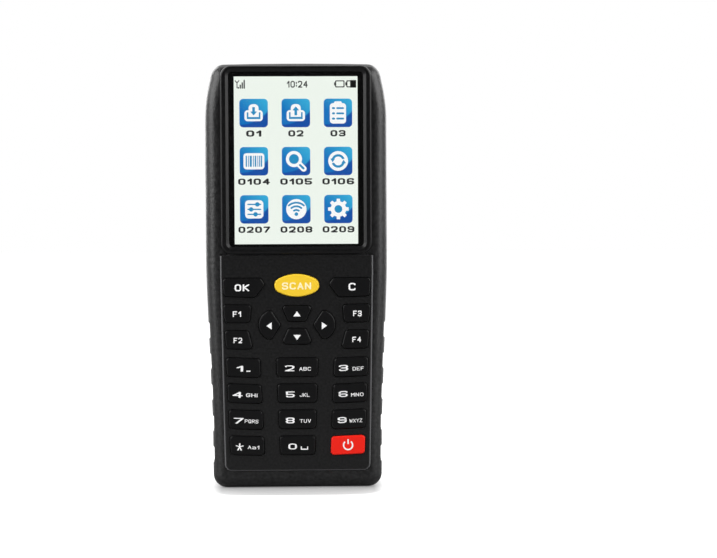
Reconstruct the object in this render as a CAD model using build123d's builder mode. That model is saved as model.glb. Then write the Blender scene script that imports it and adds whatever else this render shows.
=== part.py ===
from build123d import *
import os
from math import cos, radians, sin

# Portable barcode data terminal, standing on its lower end.
# X runs to the right as the user sees it, Y from the keys to the back, Z up.
# The origin is the middle of the base. All sizes are millimetres.
# Heights stack up from the base: keypad, display, top. Widths follow the display.
# Depths count back from the bezel's face.

# ---------------------------------------------------------------- display module
lcd_side = 2.5
lcd_thickness = 2.2
lcd_active_half = 24.3
lcd_active_height = 64.8
lcd_tail = 7.7
lcd_foot_gap = 0.5
lcd_top_edge = 2.0
lcd_corner = 0.6
lens_thickness = 1.0
lens_lap = 1.0
lens_gap = 0.1
tape_thickness = 0.5
tape_margin = 0.4
cushion_width = 4.0
cushion_thickness = 0.5
cushion_inset = 0.5
cushion_corner = 1.0
flex_half = 10.0
flex_thickness = 0.25
flex_plug_height = 1.3
flex_plug_length = 3.9
flex_fold_gap = 0.05
flex_root_depth = 0.6
flex_slot_gap = 1.5
flex_slot_room = 0.5
flex_plug_gap = 0.1
ledge_lap = 0.5

# ---------------------------------------------------------------- keypad
key_travel = 0.6
key_gap = 0.25
key_corner = 1.3
key_round = 0.45
key_margin = 1.0
flange_width = 0.7
flange_thickness = 0.8
flange_gap = 0.05
stem_radius = 1.6
dome_radius = 2.2
dome_height = 0.35
dome_round = 0.28
mat_thickness = 1.4
mat_skirt = 1.2
mat_gap = 0.2
row_pitch = 10.05
row_count = 4
number_height = 7.2
number_width = 13.0
middle_width = 16.1
middle_step = 0.78
column_margin = 8.75
column_step = 0.42
side_slope = 2.4
arrow_rise = 16.3
arrow_far = 7.4
arrow_near = 1.35
arrow_wide = 6.0
arrow_narrow = 3.4
arrow_tip = 6.2
arrow_shoulder = 10.0
arrow_shoulder_rise = 5.7
arrow_bulge = 14.7
scan_rise = 15.2
scan_half_width = 8.55
scan_half_height = 4.35
scan_end_radius = 2.9
key_rise = 0.8
scan_sunk = 0.05

# ---------------------------------------------------------------- housing
wall = 2.0
front_wall = 1.5
ledge_thickness = 1.5
side_border = 8.1
waist_taper = 2.1
foot_taper = 2.3
top_taper = 3.2
grip_top = 26.0
waist_rise = 4.6
ramp_rise = 7.6
ledge_rise = 6.1
ledge_lip = 1.2
ledge_step = 1.0
shoulder_drop = 15.0
top_crown = 0.4
foot_corner = 5.4
top_corner = 5.4
waist_blend = 300.0
shoulder_blend = 60.0
edge_round = 4.8
inner_round = 1.5
board_thickness = 1.2
board_gap = 1.5
board_room = 5.8
handle_depth = 27.0
head_depth = 34.0
ramp_height = 16.0
ramp_blend = 25.0
groove_depth = 0.55
groove_bevel = 0.5
groove_pitch = 12.0
groove_height = 5.6
groove_count = 5
groove_rise = 0.6
rim_seal_width = 0.8
rim_seal_depth = 0.8
mat_margin = 1.7
board_margin = 1.0

# ---------------------------------------------------------------- bezel and panel
bezel_face = -17.0
bezel_side = 2.2
bezel_low_margin = 3.4
bezel_high_margin = 3.7
bezel_corner = 4.3
bezel_round = 0.9
bezel_gap = 0.15
lens_recess = 0.8
lip_width = 1.1
lip_depth = 0.6
view_margin = 1.5
view_low_margin = 0.6
view_corner = 1.5
top_rim = 1.1
panel_step = 1.0
panel_proud = 0.75
panel_thickness = 1.2
panel_foot_margin = 6.8
panel_corner = 2.8
panel_round = 0.9
panel_gap = 0.12
panel_side = 5.5
panel_grip_side = 4.4
panel_foot_side = 4.6
panel_bezel_gap = 0.7
low_row_margin = 9.95

# ---------------------------------------------------------------- battery
bay_half = 20.4
bay_low = 22.0
bay_wall = 1.5
battery_gap = 0.4
battery_play = 0.6
battery_round = 1.5
battery_floor_gap = 0.1
door_side = 2.05
door_low = 10.05
door_thickness = 1.9
door_corner = 2.0
door_gap = 0.3
hinge_drop = 6.8
hinge_to_bay = 3.2
knuckle_radius = 1.2
hinge_pin_radius = 0.6
pin_clearance = 0.05
pin_seat = 0.01
pin_short = 0.1
knuckle_gap = 0.3
middle_knuckle = 6.0
outer_knuckle = 18.2
frame_thickness = 1.7
frame_margin = 2.5
frame_foot = 4.0
seal_width = 1.0
seal_depth = 0.8
seal_gap = 0.1
frame_gap = 0.1
frame_lap = 0.2
latch_travel = 2.6
tongue_half = 5.0
tongue_thickness = 1.3
tongue_height = 9.0
tongue_lap = 0.1
neck_margin = 1.0
latch_neck_half = 2.5
latch_neck_height = 3.0
latch_pad_height = 5.4
latch_pad_thickness = 0.9
latch_round = 0.4
latch_pad_gap = 0.1
slide_gap = 0.15
pocket_half = 9.0
pocket_depth = 3.5
rib_half = 14.0
rib_width = 1.2
rib_depth = 0.4
rib_pitch = 6.0
rib_count = 6
rib_low = 20.0
contact_pitch = 4.0
contact_count = 4
contact_width = 1.2
contact_front = 0.8
contact_thickness = 1.2
contact_gap = 0.05
connector_half = 8.0
connector_height = 4.9
connector_gap = 0.1
connector_lid = 0.7
contact_slot_half = 7.5
contact_slot_gap = 0.6

# ---------------------------------------------------------------- side port
port_rise = 19.0
port_half = 9.0
port_depth = 1.4
port_pin_depth = 6.7
port_cover_width = 7.1
port_corner = 1.2
port_knuckle = 1.0
port_pin_radius = 0.5
port_knuckle_half = 5.0
port_gap = 0.3
port_pad_margin = 2.0
port_pad_setback = 1.0
port_notch_gap = 1.0
usb_width = 7.8
usb_height = 3.9
usb_length = 7.9
usb_room = 0.45
usb_shell = 0.4
usb_mouth_depth = 5.5
usb_tongue_half = 2.6
usb_tongue_thickness = 0.7
usb_tongue_setback = 0.8
plug_depth = 0.6
plug_gap = 0.2

# ---------------------------------------------------------------- scan head
engine_half = 10.8
engine_round = 0.8
engine_setback = 4.5
engine_depth = 11.0
engine_height = 12.0
engine_drop = 5.0
optic_x = -4.0
optic_radius = 3.1
optic_height = 1.2
optic_sunk = 1.0
optic_gap = 0.1
aimer_x = 5.2
aimer_width = 6.5
aimer_depth = 6.0
aimer_height = 0.8
scan_window_half = 12.9
scan_window_setback = 4.6
scan_window_depth = 11.9
scan_window_thickness = 1.0
scan_window_ledge = 1.0
scan_window_sunk = 0.4
scan_window_gap = 0.1
bracket_thickness = 1.0
bracket_half = 15.8
bracket_inset = 1.0
bracket_arm_setback = 2.0
bracket_screw_x = 13.5
bracket_screw_rise = 4.5
bracket_post_radius = 2.2
bracket_screw_length = 3.0
scan_flex_half = 5.0
scan_flex_thickness = 0.3
scan_flex_drop = 7.5
scan_flex_depth = 3.5
scan_plug_half = 6.0
scan_plug_height = 3.0
scan_plug_thickness = 1.2

# ---------------------------------------------------------------- board components
shield_side = 11.9
shield_width = 22.0
shield_height = 21.0
shield_thickness = 2.2
shield_drop = 2.0
shield_gap = 5.0
radio_gap = 1.1
radio_width = 15.5
radio_height = 24.0
radio_thickness = 2.6
shield_round = 0.4
chip_thickness = 1.2
cell_side = 20.9
cell_rise = 40.0
cell_radius = 6.3
cell_thickness = 2.4
cell_round = 0.5
buzzer_rise = 10.0
buzzer_radius = 6.5
buzzer_thickness = 3.6
buzzer_hole = 1.0
buzzer_hole_depth = 1.2
slot_width = 1.2
slot_height = 10.0
slot_pitch = 2.8
slot_count = 5
antenna_gap = 0.05
antenna_thickness = 0.55
antenna_front = 0.0
antenna_width = 9.0
antenna_rise = 2.0
antenna_height = 36.0

# ---------------------------------------------------------------- fasteners and cuts
# root is how far a boss reaches into its wall, past how far a cut runs past a face.
screw_radius = 1.0
screw_head_radius = 1.9
screw_head_height = 1.4
screw_seat = 4.0
screw_length = 14.0
foot_screw_side = 6.4
foot_screw_height = 9.0
side_screw_margin = 9.9
middle_screw_rise = 5.5
top_screw_drop = 7.0
boss_radius = 2.5
shoulder_radius = 3.4
tunnel_radius = 3.2
screw_gap = 0.2
board_post_margin = 10.3
board_post_rise = 17.0
board_screw_radius = 0.8
board_screw_head = 1.5
board_screw_head_height = 1.0
board_post_radius = 1.7
bite = 0.01
root = 0.5
past = 1.0

# ---------------------------------------------------------------- heights
panel_low = panel_foot_margin
low_row = panel_low + low_row_margin
first_row = low_row + (row_count - 1) * row_pitch
arrow_middle = first_row + arrow_rise
scan_height = arrow_middle + scan_rise
waist = scan_height + waist_rise
ramp_low = scan_height + ramp_rise
ramp_high = ramp_low + ramp_height
ledge_low = scan_height + ledge_rise
bay_edge = ledge_low + ledge_lip
lcd_low = bay_edge + lcd_foot_gap
lcd_active_low = lcd_low + lcd_tail
lcd_active_high = lcd_active_low + lcd_active_height
lcd_high = lcd_active_high + lcd_top_edge
cushion_low = lcd_low + cushion_width
cushion_high = lcd_high - cushion_inset
flex_plug_low = bay_edge + flex_plug_gap
view_low = lcd_active_low - view_low_margin
view_high = lcd_active_high + view_margin
bezel_low = lcd_active_low - bezel_low_margin
bezel_high = lcd_active_high + bezel_high_margin
panel_high = bezel_low - panel_bezel_gap
height = bezel_high + top_rim
shoulder = height - shoulder_drop
groove_top = arrow_middle + groove_rise

# ---------------------------------------------------------------- widths
lcd_half = lcd_active_half + lcd_side
half_width = lcd_half + side_border
grip_half = half_width - waist_taper
foot_half = half_width - foot_taper
top_half = half_width - top_taper
bezel_half = lcd_half + bezel_side
view_half = lcd_active_half + view_margin
lens_half = view_half + lens_lap
cushion_half = lcd_half - cushion_inset
panel_half = half_width - panel_side
panel_grip = grip_half - panel_grip_side
panel_foot = foot_half - panel_foot_side
key_edge = panel_half - key_margin
side_column = panel_half - column_margin

# ---------------------------------------------------------------- depths
panel_face = bezel_face + panel_step
rim_face = panel_face + panel_proud
key_face = panel_face - key_rise
scan_face = bezel_face + scan_sunk
recess_floor = panel_face + panel_thickness
wall_back = recess_floor + front_wall
lens_face = bezel_face + lens_recess
lens_back = lens_face + lens_thickness
lcd_face = lens_back + tape_thickness
lcd_back = lcd_face + lcd_thickness
ledge_face = lcd_back + cushion_thickness
ledge_back = ledge_face + ledge_thickness
board_face = ledge_back + board_gap
board_back = board_face + board_thickness
parting = board_back + board_room
handle_back = bezel_face + handle_depth
head_back = bezel_face + head_depth
flange_face = wall_back + flange_gap
flange_back = flange_face + flange_thickness
stem_end = board_face - dome_height - flange_gap - key_travel
mat_inset = wall + mat_margin
board_inset = wall + board_margin
seal_inset = (wall - rim_seal_width) / 2

# ---------------------------------------------------------------- battery places
door_half = bay_half + door_side
door_inside = handle_back - door_thickness
frame_face = door_inside - frame_gap
hinge_height = ramp_low - hinge_drop
hinge_depth = handle_back - knuckle_radius
bay_high = hinge_height - hinge_to_bay
bay_floor = parting + bay_wall
door_top = hinge_height + knuckle_radius + door_gap
seal_front = frame_face - seal_depth
pocket_floor = frame_face - pocket_depth
tongue_back = frame_face - slide_gap
tongue_low = door_low - tongue_lap
neck_low = door_low + neck_margin + latch_travel + slide_gap
neck_high = neck_low + latch_neck_height
knuckle_spans = [(-door_half, -outer_knuckle), (-middle_knuckle, middle_knuckle),
                 (outer_knuckle, door_half)]

# ---------------------------------------------------------------- port places
port_middle = ramp_high + port_rise
port_low = port_middle - port_half
port_high = port_middle + port_half
port_pin_y = bezel_face + port_pin_depth
port_end_y = port_pin_y + port_cover_width
port_pin_x = -half_width + port_knuckle
port_inside_x = -half_width + port_depth
port_floor_x = port_inside_x + slide_gap
pad_inner_x = -half_width + wall + bay_wall
mouth_x = port_inside_x + plug_depth + usb_room
usb_low = (mouth_x, board_back, port_middle - usb_width / 2)
usb_high = (mouth_x + usb_length, board_back + usb_height, port_middle + usb_width / 2)

# ---------------------------------------------------------------- head places
engine_high = height - engine_drop
engine_low = engine_high - engine_height
engine_back = head_back - engine_setback
engine_front = engine_back - engine_depth
engine_middle_y = (engine_front + engine_back) / 2
bracket_back = engine_back + bracket_thickness
window_top = height - scan_window_sunk
window_seat = window_top - scan_window_thickness
window_back = head_back - scan_window_setback
window_front = window_back - scan_window_depth
buzzer_z = ramp_high + buzzer_rise
sound_x = cell_side - half_width
shield_x = half_width - shield_side - shield_width
shield_low = ramp_high - shield_drop
radio_low = shield_low + shield_height + shield_gap

# ---------------------------------------------------------------- fastener places
case_screws = [
    (foot_half - foot_screw_side, foot_screw_height),
    (half_width - side_screw_margin, ledge_low + middle_screw_rise),
    (half_width - side_screw_margin, height - top_screw_drop),
]
middle_edge = (middle_width - (row_count - 1) / 2 * middle_step) / 2
side_edge = side_column - (row_count - 1) / 2 * column_step - number_width / 2
board_screws_at = [
    ((middle_edge + side_edge) / 2, first_row - (row_count - 1) / 2 * row_pitch),
    (half_width - board_post_margin, port_middle + board_post_rise),
]
radio_x = board_screws_at[1][0] - board_screw_head - radio_gap - radio_width
bracket_screws_at = [(bracket_screw_x, engine_low + bracket_screw_rise)]

os.makedirs("parts", exist_ok=True)


def front_plane(y):
    """Plane at depth y, seen from the keys: sketch x is X and sketch y is Z."""
    return Plane.XZ.offset(-y)


def side_pair(points):
    """The given (x, z) points and their mirror images."""
    return [(side * x, z) for x, z in points for side in (-1, 1)]


def block(low, high, mode=Mode.ADD):
    """Box between two corners, for use inside a BuildPart block."""
    middle = tuple((a + b) / 2 for a, b in zip(low, high))
    size = [b - a for a, b in zip(low, high)]
    with Locations(middle):
        Box(*size, mode=mode)


def rod(x, z, radius, y_front, y_back, mode=Mode.ADD):
    """Round bar along Y, for use inside a BuildPart block."""
    with Locations((x, (y_front + y_back) / 2, z)):
        Cylinder(radius, y_back - y_front, rotation=(90, 0, 0), mode=mode)


def hinge_rod(radius, start, end, mode=Mode.ADD):
    """Round bar along X on the door's hinge line."""
    with Locations(((start + end) / 2, hinge_depth, hinge_height)):
        Cylinder(radius, end - start, rotation=(0, 90, 0), mode=mode)


def save(piece, node):
    """Label a finished piece and write its STEP file."""
    piece.part.label = node
    export_step(piece.part, f"parts/{node}.step")


def rounded_frame(half, low, high, corner):
    """Upright rounded rectangle, X across and Z up."""
    with BuildSketch() as frame:
        with Locations((0, (low + high) / 2)):
            RectangleRounded(2 * half, high - low, corner)
    return frame.sketch


# ================================================================ outer form

side_points = [
    (foot_half, 0),
    (grip_half, grip_top),
    (half_width, waist),
    (half_width, shoulder),
    (top_half, height - top_crown),
]


def side_at(z):
    """Half width of the housing at height z."""
    for (x0, z0), (x1, z1) in zip(side_points, side_points[1:]):
        if z <= z1:
            return x0 + (x1 - x0) * (z - z0) / (z1 - z0)
    return top_half


def housing_outline(inset=0.0):
    """Front view of the housing, moved inwards by inset."""
    left_points = [(-x, z) for x, z in reversed(side_points)]
    near = 0.1
    with BuildSketch() as outline:
        with BuildLine():
            Polyline(*side_points)
            ThreePointArc(side_points[-1], (0, height), left_points[0])
            Polyline(*left_points)
            Line(left_points[-1], side_points[0])
        make_face()
        bends = [(0, foot_corner), (grip_top, waist_blend), (waist, waist_blend),
                 (shoulder, shoulder_blend), (height - top_crown, top_corner)]
        for z, radius in bends:
            corners = outline.vertices().filter_by_position(Axis.Y, z - near, z + near)
            fillet(corners, radius)
        if inset > 0:
            offset(amount=-inset)
    return outline.sketch


def back_profile(inset=0.0):
    """Side view that limits the back: slim handle, ramp, deeper scan head."""
    beyond = 5.0
    handle = handle_back - inset
    head = head_back - inset
    front = bezel_face - beyond
    with BuildSketch(Plane.YZ) as profile:
        with BuildLine():
            Polyline(
                (front, -beyond),
                (handle, -beyond),
                (handle, ramp_low),
                (head, ramp_high),
                (head, height + beyond),
                (front, height + beyond),
                close=True,
            )
        make_face()
        bends = profile.vertices().filter_by_position(Axis.Y, ramp_low - 1, ramp_high + 1)
        fillet(bends, ramp_blend)
    return profile.sketch


def closed_form(inset, front):
    """The housing as one solid from depth front to the back, with its back edges round."""
    outline = housing_outline(inset)
    profile = back_profile(inset)
    end_margin = 6.0
    with BuildPart() as form:
        with BuildSketch(front_plane(head_back)):
            add(outline)
        extrude(amount=head_back - front)
        extrude(profile, amount=2 * half_width, both=True, mode=Mode.INTERSECT)
        along_y = form.edges().filter_by(Axis.Y)
        seams = form.edges().filter_by(Axis.X)
        seams = seams.filter_by_position(Axis.Z, 1 + inset, height - end_margin)
        front_edges = form.faces().sort_by(Axis.Y)[0].edges()
        back_edges = form.edges() - along_y - seams - front_edges
        fillet(back_edges, edge_round - inset)
    return form.part


outer_form = closed_form(0.0, rim_face)
with BuildPart() as outer:
    add(outer_form)
    fillet(outer.faces().sort_by(Axis.Y)[0].edges(), edge_round)
    for index in range(groove_count):
        high = groove_top - index * groove_pitch
        low = high - groove_height
        flare = 2 * groove_depth
        rise = 2 * groove_bevel
        with BuildSketch(front_plane(0)):
            with BuildLine():
                Polyline(
                    (side_at(low) - groove_depth, low),
                    (side_at(high) - groove_depth, high),
                    (side_at(high) - groove_depth + flare, high + rise),
                    (side_at(low) - groove_depth + flare, low - rise),
                    close=True,
                )
            make_face()
            mirror(about=Plane.YZ)
        extrude(amount=2 * head_back, both=True, mode=Mode.SUBTRACT)

inner_form = closed_form(wall, parting - wall)


# ================================================================ keys

def number_key(column, row):
    """Corners of a number key: side columns lean with the tapering sides."""
    z = first_row - row * row_pitch
    half_h = number_height / 2
    if column == 0:
        half = (middle_width - row * middle_step) / 2
        foot = half - middle_step * number_height / row_pitch / 2
        return [(-half, z + half_h), (half, z + half_h), (foot, z - half_h), (-foot, z - half_h)]
    x = column * (side_column - row * column_step)
    half_w = number_width / 2
    drop = half_w * sin(radians(side_slope))
    lean = half_h * sin(radians(side_slope))
    half_h = half_h * cos(radians(side_slope))
    outer_x = x + column * half_w
    inner_x = x - column * half_w
    return [(outer_x + column * lean, z + half_h + drop),
            (inner_x + column * lean, z + half_h - drop),
            (inner_x - column * lean, z - half_h - drop),
            (outer_x - column * lean, z - half_h + drop)]


def polygon_face(corners):
    """Rounded polygon, X across and Z up."""
    with BuildSketch() as face:
        with BuildLine():
            Polyline(*corners, close=True)
        make_face()
        fillet(face.vertices(), key_corner)
    return face.sketch


def arrow_face(side):
    """Side key of the arrow group: a wedge towards the middle and a round outer edge."""
    top = (side * arrow_shoulder, arrow_middle + arrow_shoulder_rise)
    tip = (side * arrow_tip, arrow_middle)
    foot = (side * arrow_shoulder, arrow_middle - arrow_shoulder_rise)
    bulge = (side * arrow_bulge, arrow_middle)
    with BuildSketch() as face:
        with BuildLine():
            Line(top, tip)
            Line(tip, foot)
            ThreePointArc(foot, bulge, top)
        make_face()
        fillet(face.vertices(), key_corner)
    return face.sketch


def scan_outline():
    """Oval of the scan key: two flat arcs joined by two tighter ones."""
    reach = scan_half_width - scan_end_radius
    rise = scan_half_height - scan_end_radius
    flat_radius = (reach**2 + scan_half_height**2 - scan_end_radius**2) / (2 * rise)
    span = flat_radius - scan_end_radius
    join_x = reach + scan_end_radius * reach / span
    join_z = scan_end_radius * (flat_radius - scan_half_height) / span
    with BuildSketch() as face:
        with BuildLine():
            for side in (-1, 1):
                end = (side * scan_half_width, scan_height)
                ThreePointArc((side * join_x, scan_height - join_z), end,
                              (side * join_x, scan_height + join_z))
                top = (0, scan_height + side * scan_half_height)
                ThreePointArc((-join_x, scan_height + side * join_z), top,
                              (join_x, scan_height + side * join_z))
        make_face()
    return face.sketch


def on_side(side, points):
    """Points of a key on the left (-1) or right (+1) half of the face."""
    return [(side * x, z) for x, z in points]


# Corners of the keys beside the scan key and the arrows, on the right half of the face.
# Outer corners count from key_edge, inner ones from the neighbour in the middle.
ok_corners = [
    (key_edge, scan_height + 2.8),
    (scan_half_width + 5.35, scan_height + 2.8),
    (scan_half_width + 3.75, scan_height + 0.4),
    (scan_half_width + 7.45, scan_height - 4.5),
    (key_edge - 0.4, scan_height - 4.1),
]
upper_function = [
    (key_edge, arrow_middle + 7.9),
    (arrow_bulge + 2.8, arrow_middle + 7.7),
    (arrow_bulge + 3.4, arrow_middle + 1.0),
    (key_edge - 0.8, arrow_middle + 1.0),
]
lower_function = [
    (key_edge - 0.6, arrow_middle - 2.0),
    (arrow_bulge + 4.0, arrow_middle - 2.2),
    (arrow_bulge + 2.2, arrow_middle - 9.2),
    (key_edge - 1.2, arrow_middle - 9.0),
]
up_corners = [
    (-arrow_wide, arrow_middle + arrow_far),
    (arrow_wide, arrow_middle + arrow_far),
    (arrow_narrow, arrow_middle + arrow_near),
    (-arrow_narrow, arrow_middle + arrow_near),
]
down_corners = [(x, 2 * arrow_middle - z) for x, z in up_corners]

key_faces = {
    "key_ok": polygon_face(on_side(-1, ok_corners)),
    "key_scan": scan_outline(),
    "key_cancel": polygon_face(on_side(1, ok_corners)),
    "key_f1": polygon_face(on_side(-1, upper_function)),
    "key_f2": polygon_face(on_side(-1, lower_function)),
    "key_f3": polygon_face(on_side(1, upper_function)),
    "key_f4": polygon_face(on_side(1, lower_function)),
    "key_up": polygon_face(up_corners),
    "key_down": polygon_face(down_corners),
    "key_left": arrow_face(-1),
    "key_right": arrow_face(1),
}
number_names = ["1", "2", "3", "4", "5", "6", "7", "8", "9", "star", "0", "power"]
for index, number in enumerate(number_names):
    key_faces[f"key_{number}"] = polygon_face(number_key(index % 3 - 1, index // 3))


def key_middle(face):
    """Where the key's stem stands, as (x, z)."""
    centre = face.face().center(CenterOf.MASS)
    return (centre.X, centre.Y)


def keys_grown(grow):
    """All key outlines, each grown by the same amount."""
    with BuildSketch() as holes:
        for face in key_faces.values():
            add(offset(face, amount=grow, mode=Mode.PRIVATE))
    return holes.sketch


def build_key(face, top):
    """Cap, capture flange and stem of one key."""
    with BuildPart() as key:
        with BuildSketch(front_plane(flange_back)):
            add(face)
        extrude(amount=flange_back - top)
        fillet(key.faces().sort_by(Axis.Y)[0].edges(), key_round)
        with BuildSketch(front_plane(flange_back)):
            add(face)
            offset(amount=flange_width)
        extrude(amount=flange_thickness)
        with BuildSketch(front_plane(stem_end)):
            with Locations(key_middle(face)):
                Circle(stem_radius)
        extrude(amount=stem_end - flange_back)
    return key


for node, face in key_faces.items():
    top = scan_face if node == "key_scan" else key_face
    save(build_key(face, top), node)

# ================================================================ front housing

outline_inside = housing_outline(wall)
panel_points = [(panel_foot, panel_low), (panel_grip, grip_top), (panel_half, waist)]
seal_outside = housing_outline(seal_inset)
seal_inside = housing_outline(seal_inset + rim_seal_width)


def panel_outline(grow, high):
    """Outline of the face panel or of its recess, up to height high."""
    right = panel_points + [(panel_half, high)]
    left = [(-x, z) for x, z in reversed(right)]
    with BuildSketch() as outline:
        with BuildLine():
            Polyline(*right, *left, close=True)
        make_face()
        low_corners = outline.vertices().filter_by_position(Axis.Y, panel_low - 1, panel_low + 1)
        fillet(low_corners, panel_corner)
        if grow > 0:
            offset(amount=grow)
    return outline.sketch


def everything_between(low, high, mode):
    """Box that takes in the whole housing between two heights."""
    block((-half_width, bezel_face, low), (half_width, head_back, high), mode)


def boss_foot(z):
    """Depth of the wall behind which a boss stands at height z."""
    return wall_back if z < ledge_low else ledge_back


with BuildPart() as keypad_cavity:
    with BuildSketch(front_plane(parting)):
        add(outline_inside)
    extrude(amount=parting - wall_back)
    everything_between(ledge_low, height, Mode.SUBTRACT)
    front_rim = keypad_cavity.faces().sort_by(Axis.Y)[0].edges()
    fillet(front_rim.sort_by(Axis.Z)[:-1], inner_round)

with BuildPart() as head_cavity:
    with BuildSketch(front_plane(parting)):
        add(outline_inside)
    extrude(amount=parting - ledge_back)
    everything_between(0, ledge_low - ledge_step, Mode.SUBTRACT)

with BuildPart() as front_housing:
    add(outer.part)
    split(bisect_by=Plane.XZ.offset(-parting), keep=Keep.TOP)
    add(keypad_cavity.part, mode=Mode.SUBTRACT)
    add(head_cavity.part, mode=Mode.SUBTRACT)
    with BuildSketch(front_plane(recess_floor)):
        add(panel_outline(panel_gap, bezel_low))
    extrude(amount=recess_floor - bezel_face, mode=Mode.SUBTRACT)
    with BuildSketch(front_plane(ledge_face)):
        add(rounded_frame(bezel_half + bezel_gap, bezel_low - bezel_gap,
                          bezel_high + bezel_gap, bezel_corner + bezel_gap))
    extrude(amount=ledge_face - bezel_face, mode=Mode.SUBTRACT)
    block((-lcd_half - bezel_gap, bezel_face, bay_edge),
          (lcd_half + bezel_gap, ledge_face, bezel_low + bezel_corner), Mode.SUBTRACT)
    with BuildSketch(front_plane(ledge_back)):
        add(rounded_frame(cushion_half - cushion_width - ledge_lap, lcd_low + 2 * cushion_width,
                          cushion_high - cushion_width - ledge_lap, view_corner))
    extrude(amount=ledge_thickness, mode=Mode.SUBTRACT)
    flex_slot_half = flex_half + flex_slot_gap
    block((-flex_slot_half, ledge_face, bay_edge),
          (flex_slot_half, parting, flex_plug_low + flex_plug_length + flex_slot_room), Mode.SUBTRACT)
    with BuildSketch(front_plane(wall_back)):
        add(keys_grown(key_gap))
    extrude(amount=wall_back - bezel_face, mode=Mode.SUBTRACT)
    block((port_floor_x, wall_back + port_pad_setback, port_low - port_pad_margin),
          (pad_inner_x, parting, port_high + port_pad_margin))
    block((-half_width - past, port_pin_y, port_low - port_gap),
          (port_floor_x, port_end_y + port_gap, port_high + port_gap), Mode.SUBTRACT)
    block((-half_width - past, port_pin_y - port_knuckle - port_gap, port_low - port_gap),
          (port_pin_x, port_pin_y, port_high + port_gap), Mode.SUBTRACT)
    with Locations((port_pin_x, port_pin_y, port_middle)):
        Cylinder(port_knuckle + port_gap, 2 * port_half + 2 * port_gap, mode=Mode.SUBTRACT)
        ear = port_half - port_knuckle_half - port_gap
        for side in (-1, 1):
            with Locations((0, 0, side * (port_half - ear / 2))):
                Cylinder(port_knuckle, ear)
                with Locations((port_knuckle, 0, 0)):
                    Box(2 * port_knuckle, 2 * port_knuckle, ear)
        Cylinder(port_pin_radius + pin_seat, 2 * port_half, mode=Mode.SUBTRACT)
    block((-half_width, usb_low[1] - usb_room, usb_low[2] - usb_room),
          (pad_inner_x, usb_high[1] + usb_room, usb_high[2] + usb_room), Mode.SUBTRACT)
    for x, z in side_pair(case_screws):
        rod(x, z, shoulder_radius, boss_foot(z) - root, board_face)
        rod(x, z, boss_radius, board_face, parting)
        rod(x, z, screw_radius + bite, screw_seat - screw_length, parting, Mode.SUBTRACT)
    for x, z in side_pair(board_screws_at):
        rod(x, z, board_post_radius, boss_foot(z) - root, board_face)
        rod(x, z, board_screw_radius + bite, boss_foot(z), board_face, Mode.SUBTRACT)
    with BuildSketch(front_plane(parting)):
        add(seal_outside)
        add(seal_inside, mode=Mode.SUBTRACT)
    extrude(amount=rim_seal_depth, mode=Mode.SUBTRACT)
save(front_housing, "front_housing")

with BuildPart() as housing_seal:
    with BuildSketch(front_plane(parting)):
        add(seal_outside)
        add(seal_inside, mode=Mode.SUBTRACT)
    extrude(amount=rim_seal_depth)
save(housing_seal, "housing_seal")

with BuildPart() as face_panel:
    with BuildSketch(front_plane(recess_floor)):
        add(panel_outline(0, panel_high))
    extrude(amount=panel_thickness)
    fillet(face_panel.faces().sort_by(Axis.Y)[0].edges().sort_by(Axis.Z)[:-1], panel_round)
    with BuildSketch(front_plane(recess_floor)):
        add(keys_grown(key_gap))
    extrude(amount=panel_thickness, mode=Mode.SUBTRACT)
save(face_panel, "face_panel")

# ================================================================ display

with BuildPart() as screen_bezel:
    skirt_back = ledge_face - flange_gap
    with BuildSketch(front_plane(skirt_back)):
        add(rounded_frame(bezel_half, bezel_low, bezel_high, bezel_corner))
    extrude(amount=skirt_back - bezel_face)
    fillet(screen_bezel.faces().sort_by(Axis.Y)[0].edges(), bezel_round)
    with BuildSketch(front_plane(skirt_back)):
        add(rounded_frame(lens_half + lens_gap, view_low - lens_lap - lens_gap,
                          view_high + lens_lap - lens_gap, view_corner))
    extrude(amount=skirt_back - lens_face, mode=Mode.SUBTRACT)
    with BuildSketch(front_plane(lens_face)):
        add(rounded_frame(view_half, view_low, view_high, view_corner))
    extrude(amount=lens_face - bezel_face, mode=Mode.SUBTRACT)
    face = screen_bezel.faces().sort_by(Axis.Y)[0]
    chamfer(face.inner_wires().edges(), lip_width, lip_depth, reference=face)
    block((-lcd_half - lens_gap, lcd_face - lens_gap, bezel_low - past),
          (lcd_half + lens_gap, skirt_back, lcd_high + lens_gap), Mode.SUBTRACT)
save(screen_bezel, "screen_bezel")

with BuildPart() as display_window:
    with BuildSketch(front_plane(lens_back)):
        add(rounded_frame(lens_half, view_low - lens_lap,
                          view_high + lens_lap - 2 * lens_gap, view_corner))
    extrude(amount=lens_thickness)
save(display_window, "display_window")

with BuildPart() as window_tape:
    with BuildSketch(front_plane(lcd_face)):
        add(rounded_frame(lens_half - 2 * lens_gap, view_low - lens_lap + 2 * lens_gap,
                          lcd_high - lens_gap, view_corner))
        add(rounded_frame(lcd_active_half + tape_margin, lcd_active_low - tape_margin,
                          lcd_active_high + tape_margin, tape_margin), mode=Mode.SUBTRACT)
    extrude(amount=tape_thickness)
save(window_tape, "window_tape")

with BuildPart() as lcd_module:
    with BuildSketch(front_plane(lcd_back)):
        add(rounded_frame(lcd_half, lcd_low, lcd_high, lcd_corner))
    extrude(amount=lcd_thickness)
save(lcd_module, "lcd_module")

with BuildPart() as lcd_cushion:
    with BuildSketch(front_plane(ledge_face)):
        add(rounded_frame(cushion_half, cushion_low, cushion_high, cushion_corner))
        add(rounded_frame(cushion_half - cushion_width, cushion_low + cushion_width,
                          cushion_high - cushion_width, cushion_corner), mode=Mode.SUBTRACT)
    extrude(amount=cushion_thickness)
save(lcd_cushion, "lcd_cushion")

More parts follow.
